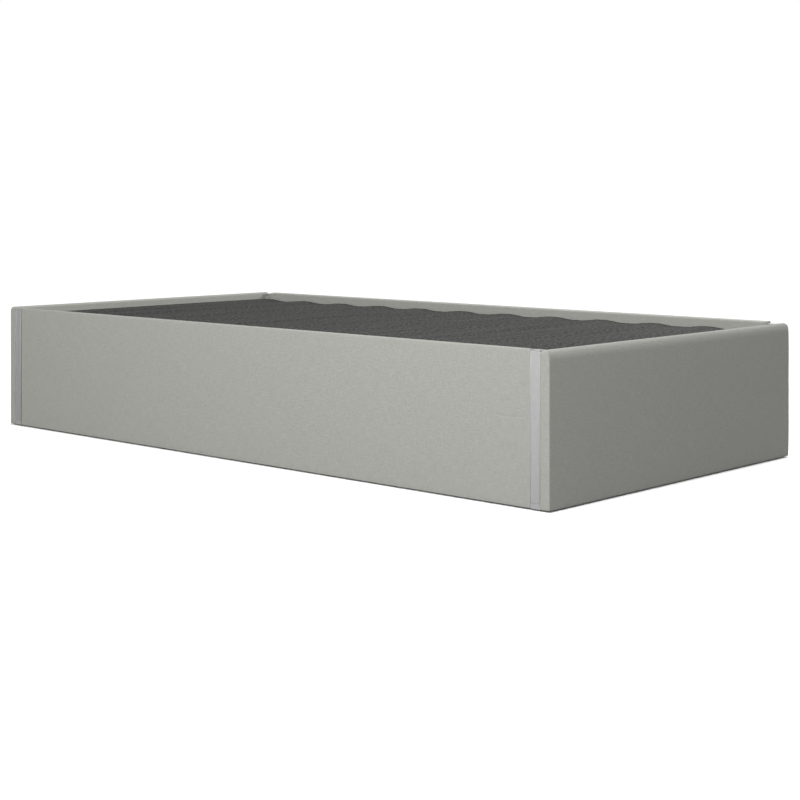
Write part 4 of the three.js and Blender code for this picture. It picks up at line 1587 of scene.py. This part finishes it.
@dataclass
class SlattedBase:
    """The lift-out base: rails, slats, felt pad and the cover stretched over them."""

    finishes: Finishes
    slat_count: int = 12
    slat_edge: float = 4.0 * MM
    slat_round: float = 3.6 * MM
    slat_steps: tuple[float, float, float] = (120.0 * MM, 20.0 * MM, 10.0 * MM)
    rail_edge: float = 0.9 * MM
    cover_thickness: float = 1.0 * MM
    cover_edge: float = 10.0 * MM
    cover_corner: float = 3.0 * MM
    cover_steps: tuple[float, float, float] = (22.0 * MM, 7.5 * MM, 5.0 * MM)
    cover_seed: int = 83
    cover_ease: float = 0.3 * MM
    # Ripples by their usual wavelength and height: over the top, by the pull across it and in the skirt.
    cover_lie: tuple[float, float] = (240.0 * MM, 0.25 * MM)
    cover_pull: tuple[float, float] = (38.0 * MM, 0.1 * MM)
    pull_stretch: float = 5.0
    top_reach: float = 3.0 * MM
    skirt_lie: tuple[float, float] = (55.0 * MM, 0.35 * MM)
    skirt_reach: float = 25.0 * MM
    hang_reach: float = 45.0 * MM
    felt_thickness: float = 8.0 * MM
    felt_inset: float = 5.5 * MM
    felt_round: float = 3.9 * MM
    felt_steps: tuple[float, float, float] = (25.0 * MM, 9.0 * MM, 3.0 * MM)
    felt_lie: tuple[float, float] = (45.0 * MM, 0.12 * MM)
    felt_seed: int = 71
    felt_fill: float = 0.8
    # The cover's wave: half a crest's width, its shift towards the foot and the length of its sides.
    crest_half: float = 10.0 * MM
    crest_shift: float = 9.5 * MM
    crest_side: float = 62.0 * MM
    trough_share: float = 0.9
    edge_droop: float = 0.8 * MM
    droop_reach: float = 90.0 * MM
    # The hem's stitches and staples.
    hem_height: float = 6.0 * MM
    stitch_pitch: float = 7.0 * MM
    stitch_size: tuple[float, float, float] = (4.8 * MM, 0.7 * MM, 0.7 * MM)
    stitch_round: float = 0.3 * MM
    staple_pitch: float = 70.0 * MM
    staple_size: tuple[float, float, float] = (10.0 * MM, 1.2 * MM, 1.0 * MM)
    staple_round: float = 0.4 * MM
    body: str = "slatted_base"

    def __post_init__(self) -> None:
        """Reads the slats' places and the cover's and felt's boxes from the frame."""
        boxes = [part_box(f"slat_{n:02d}") for n in range(1, self.slat_count + 1)]
        self.slats = np.array([(low.y + high.y) / 2 for low, high in boxes])
        self.flat = (boxes[0][1].y - boxes[0][0].y) / 2 - self.slat_edge
        self.cover_low, self.cover_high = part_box("base_cover")
        self.felt_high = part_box("felt_pad")[1]
        heights = vertex_places(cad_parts["felt_pad"].data)[:, 2].astype(float)
        self.sag = (heights.max() - heights.min()) - self.felt_thickness

    def dip(self, y: np.ndarray) -> np.ndarray:
        """How far the felt's underside hangs below the slats' tops.

        It is nothing over a slat, and half a cosine wave on either side of the middle between two slats.

        Args:
            y: places along the bed.

        Returns:
            Depths below the slats' tops.
        """
        nearest = self.slats[np.abs(y[..., None] - self.slats).argmin(-1)]
        beyond = np.maximum(np.abs(y - nearest) - self.flat, 0)
        beyond = np.where((y < self.slats[0]) | (y > self.slats[-1]), 0, beyond)
        reach = (self.slats[1] - self.slats[0]) / 2 - self.flat
        return self.sag * (1 - np.cos(np.pi * beyond / reach)) / 2

    def drape(self, x: np.ndarray, y: np.ndarray) -> np.ndarray:
        """How far the drawn cover lies below its crests.

        Between two narrow crests it lies level, joined to them by smooth steps. The crests stand a little
        nearer the foot than the slats' middles, and near its edges the whole cover is drawn down a little.

        Args:
            x: places across the bed.
            y: places along the bed.

        Returns:
            Depths below the crests.
        """
        place = y + self.crest_shift
        beyond = np.maximum(np.abs(place[..., None] - self.slats).min(-1) - self.crest_half, 0)
        beyond = np.where((place < self.slats[0]) | (place > self.slats[-1]), 0, beyond)
        from_edge = np.minimum(self.cover_high.x - np.abs(x), self.cover_high.y - np.abs(y))
        trough = self.trough_share * self.sag * eased(beyond / self.crest_side)
        return trough + self.edge_droop * eased(1 - from_edge / self.droop_reach)

    def build(self) -> None:
        """Builds the base from the rails up."""
        for node in ("slat_rail_left", "slat_rail_right", "end_rail_foot", "end_rail_head"):
            piece = softened_copy(node, f"{node}_eased", self.rail_edge)
            settle(piece, self.body, self.finishes.pine, [node])
        for number in range(1, self.slat_count + 1):
            self.slat(f"slat_{number:02d}")
        self.felt()
        cover = self.cover()
        self.hem()

    def slat(self, node: str) -> None:
        """A slat: a bar with round edges, ruled closely only across.

        Args:
            node: name of the slat's CAD node.
        """
        low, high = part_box(node)
        bar = rounded_bar(low, high, self.slat_round, self.slat_steps)
        settle(bar.build(f"{node}_planed"), self.body, self.finishes.beech, [node])

    def felt(self) -> None:
        """The felt pad: a soft-edged slab inside the cover's round.

        Its underside follows the dip and its top the drape.
        """
        high, radius = self.felt_high, self.felt_round
        bottom = high.z - self.felt_thickness
        across, along = high.x - self.felt_inset, high.y - self.felt_inset
        step_x, step_y, step_z = self.felt_steps
        grid = BoxGrid.from_lines(
            ruled(-across, across, step_x, round_lines(radius)),
            ruled(-along, along, step_y, round_lines(radius)),
            ruled(bottom, high.z, step_z, round_lines(radius)),
        )
        middle = np.array([0.0, 0.0, (bottom + high.z) / 2])
        half = np.array([across, along, self.felt_thickness / 2])
        side = np.where(grid.points < middle, -1.0, 1.0)
        inset = half - np.abs(grid.points - middle)
        for a, b in ((0, 2), (1, 2), (0, 1)):
            inset[:, a], inset[:, b] = rounded(inset[:, a], inset[:, b], radius)
        points = middle + side * (half - inset)
        share = (grid.points[:, 2] - bottom) / self.felt_thickness
        x, y = points[:, 0], points[:, 1]
        points[:, 2] -= self.dip(y) * (1 - share) + self.drape(x, y) * share
        length, height = self.felt_lie
        points[:, 2] += ripple(x, y, length, self.felt_seed) * height * (grid.points[:, 2] < middle[2])
        piece = grid.surface(points).build("felt_pad_soft")
        settle(piece, self.body, self.finishes.felt, ["felt_pad"])

    def cover(self) -> bpy.types.Object:
        """The cover: a stretched top that follows the drape, rounded over the edges, with a skirt to the hem.

        Its top carries two ripples, one of them drawn out across the bed as by the pull of the cloth, and
        its skirt a third.

        Returns:
            The cloth.
        """
        low, high = self.cover_low, self.cover_high
        edge, corner = self.cover_edge, self.cover_corner
        crests = self.slats - self.crest_shift
        marks = np.concatenate([crests - self.crest_half, crests + self.crest_half])
        marks = marks[np.abs(marks) < high.y - max(edge, corner)]
        rounds = [*round_lines(edge), *round_lines(corner)]
        step_x, step_y, step_z = self.cover_steps
        grid = BoxGrid.from_lines(
            ruled(low.x, high.x, step_x, rounds),
            ruled(low.y, high.y, step_y, rounds, marks),
            ruled(low.z, high.z, step_z, (), high.z - np.array(round_lines(edge))),
        )
        x, y, z = grid.points.T.copy()
        side_x, side_y = np.sign(x), np.sign(y)
        out_x, out_y, down = high.x - np.abs(x), high.y - np.abs(y), high.z - z
        out_x, out_y = rounded(out_x, out_y, corner)
        out_x, down = rounded(out_x, down, edge)
        out_y, down = rounded(out_y, down, edge)
        x, y = side_x * (high.x - out_x), side_y * (high.y - out_y)
        hang = eased(1 - down / self.hang_reach)
        length, height = self.cover_pull
        pull = ripple(x, y, length, self.cover_seed, self.pull_stretch) * height
        length, height = self.cover_lie
        uneven = pull + ripple(x, y, length, self.cover_seed + 1) * height
        on_top = eased(1 - down / self.top_reach)
        z = high.z - down - self.drape(x, y) * hang - (self.cover_ease + uneven) * on_top
        skirt = eased((down - edge) / self.skirt_reach)
        length, height = self.skirt_lie
        along = np.where(out_x < out_y, y, x)
        wave = ripple(along, z, length, self.cover_seed + 2) * height * skirt
        x, y = x - side_x * wave * (out_x < out_y), y - side_y * wave * (out_x >= out_y)
        keep = ~((grid.axis == 2) & ~grid.high)
        flat = grid.points[grid.quads]
        drop = high.z - flat[..., 2]
        u = flat[..., 0] + np.sign(flat[..., 0]) * drop * (grid.axis == 0)[:, None]
        v = flat[..., 1] + np.sign(flat[..., 1]) * drop * (grid.axis == 1)[:, None]
        piece = grid.surface(np.stack([x, y, z], -1), keep, np.stack([u, v], -1)).build("base_cover_cloth")
        skin = piece.modifiers.new("skin", "SOLIDIFY")
        skin.thickness, skin.offset = self.cover_thickness, -1.0
        settle(piece, self.body, self.finishes.charcoal, ["base_cover"])
        return piece

    def hem(self) -> None:
        """A row of stitches and a row of staples round the foot of the skirt; both go with the cover.
        """
        low, high = self.cover_low, self.cover_high
        reach = np.array([high.x - self.cover_corner, high.y - self.cover_corner])
        half = np.array(self.stitch_size) / 2
        stitch = rounded_bar(-half, half, self.stitch_round)
        half = np.array(self.staple_size) / 2
        staple = rounded_bar(-half, half, self.staple_round)
        seam, row_above = low.z + self.hem_height, low.z + 2 * self.hem_height
        thread, zinc = self.finishes.thread, self.finishes.zinc
        for name, shape, pitch, height, material, slot in (
            ("hem_stitches", stitch, self.stitch_pitch, seam, thread, "charcoal"),
            ("hem_staples", staple, self.staple_pitch, row_above, zinc, "zinc_steel"),
        ):
            places, turns = [], []
            for axis, out in ((0, high.y), (1, high.x)):
                along = np.linspace(-reach[axis], reach[axis], round(2 * reach[axis] / pitch) + 1)
                for sign in (-1.0, 1.0):
                    row = np.zeros((len(along), 3))
                    row[:, axis], row[:, 1 - axis], row[:, 2] = along, sign * out, height
                    places.append(row)
                    turn = about_z(axis * math.pi / 2)
                    turns.append(np.broadcast_to(turn, (len(along), 3, 3)))
            piece = shape.repeated(np.concatenate(places), np.concatenate(turns)).build(name)
            settle(piece, self.body, material)


# Studio


@dataclass(frozen=True)
class Softbox:
    """A square area light: its place, its power and the point that it faces."""

    name: str
    place: tuple[float, float, float]
    watts: float
    aim: tuple[float, float, float] = (0.0, -0.2, 0.2)
    size: float = 1.6

    def build(self) -> None:
        """Turns the light so that its -Z looks along the line from its place to its aim."""
        data = bpy.data.lights.new(self.name, "AREA")
        data.energy, data.size = self.watts, self.size
        lamp = bpy.data.objects.new(self.name, data)
        lamp.location = self.place
        lamp.visible_camera = False
        line = np.subtract(self.aim, self.place)
        tilt = math.acos(-line[2] / np.linalg.norm(line))
        lamp.rotation_euler = (tilt, 0.0, math.atan2(line[1], line[0]) - math.pi / 2)
        bpy.context.scene.collection.objects.link(lamp)


@dataclass
class Studio:
    """Plain pale floor, soft light and the camera at the photograph's angle."""

    camera_place: tuple[float, float, float] = (-3.3833, -3.2126, 0.6969)
    camera_yaw_deg: float = 47.4213
    focal_px: float = 1619.26
    horizon_px: float = 197.551
    picture_px: float = 800.0
    sensor_mm: float = 36.0
    ambient: float = 0.6
    floor_reach: float = 60.0
    floor_seen: str = "fbfbfb"
    floor_lit: str = "707070"
    floor_glow: float = 0.5
    glow_edge: float = 20.0 * MM
    softboxes: tuple[Softbox, ...] = (
        Softbox("key_softbox", place=(-2.6, -1.4, 1.9), watts=69.0),
        Softbox("low_softbox", place=(-2.8, 0.0, 1.0), watts=9.0),
        Softbox("head_softbox", place=(-2.6, 1.6, 1.4), watts=11.0),
        Softbox("front_softbox", place=(-0.6, -3.2, 1.2), watts=6.0),
        Softbox("right_softbox", place=(2.2, -0.4, 1.8), watts=47.0),
    )

    def build(self) -> None:
        """Builds the floor, the lights, the world and the camera."""
        self.floor()
        for softbox in self.softboxes:
            softbox.build()
        self.world()
        self.camera()
        bpy.context.scene.view_settings.view_transform = "Standard"

    def floor(self) -> None:
        """A wide plane at the floor's height. It is seen nearly white and lights the bed as a mid grey would.

        Outside the bed's outline it glows a little, so that it runs into the white behind it.
        """
        corners = np.array([[-1, -1, 0], [1, -1, 0], [1, 1, 0], [-1, 1, 0]], float) * self.floor_reach
        piece = Surface(corners, np.array([[0, 1, 2, 3]])).build("studio_floor")
        material, tree = new_material("studio_floor_paint")
        seen = add(tree, "LightPath").outputs["Is Camera Ray"]
        colours = {0: seen, 6: linear(self.floor_lit), 7: linear(self.floor_seen)}
        tone = add(tree, "Mix", colours, data_type="RGBA").outputs[2]
        place = add(tree, "TexCoord").outputs["Object"]
        mirrored = add(tree, "VectorMath", {0: place}, operation="ABSOLUTE").outputs[0]
        outline = (CAD_BOX[1][0], CAD_BOX[1][1], 0.0)
        past = add(tree, "VectorMath", {0: mirrored, 1: outline}, operation="SUBTRACT").outputs[0]
        part = add(tree, "SeparateXYZ", {0: past})
        away = add(tree, "Math", {0: part.outputs[0], 1: part.outputs[1]}, operation="MAXIMUM").outputs[0]
        spread = {"Value": away, "From Min": 0.0, "From Max": self.glow_edge, "To Max": self.floor_glow}
        far = add(tree, "MapRange", spread, interpolation_type="SMOOTHSTEP").outputs[0]
        glow = add(tree, "Math", {0: seen, 1: far}, operation="MULTIPLY").outputs[0]
        close(
            tree, base_color=tone, roughness=0.9, specular=0.1, emission_color=linear("ffffff"),
            emission_strength=glow,
        )
        piece.data.materials.append(material)

    def world(self) -> None:
        """An even pale surround, whiter where it is seen than as light."""
        world = bpy.data.worlds.new("studio")
        bpy.context.scene.world = world
        world.use_nodes = True
        tree = world.node_tree
        tree.nodes.clear()
        seen = add(tree, "LightPath").outputs["Is Camera Ray"]
        light = add(tree, "Background", {"Color": linear("ffffff"), "Strength": self.ambient})
        white = add(tree, "Background", {"Color": linear("ffffff"), "Strength": 1.0})
        mixed = add(tree, "MixShader", {0: seen, 1: light.outputs[0], 2: white.outputs[0]})
        add(tree, "OutputWorld", {"Surface": mixed.outputs[0]})

    def camera(self) -> None:
        """A level camera, shifted down so that the horizon lies high in the picture."""
        data = bpy.data.cameras.new("camera")
        data.sensor_width = self.sensor_mm
        data.lens = self.focal_px / self.picture_px * self.sensor_mm
        data.shift_y = (self.horizon_px - self.picture_px / 2) / self.picture_px
        camera = bpy.data.objects.new("camera", data)
        camera.location = self.camera_place
        camera.rotation_euler = (math.pi / 2, 0.0, -math.radians(self.camera_yaw_deg))
        bpy.context.scene.collection.objects.link(camera)
        bpy.context.scene.camera = camera


def main() -> None:
    """Dresses the bed from the box inwards and sets the studio."""
    Studio().build()
    finishes = Finishes()
    Upholstery(finishes).build()
    corners = Corners(finishes)
    corners.build()
    Bearers(finishes, corners.screw_head()).build()
    SlattedBase(finishes).build()


if __name__ == "__main__":
    main()
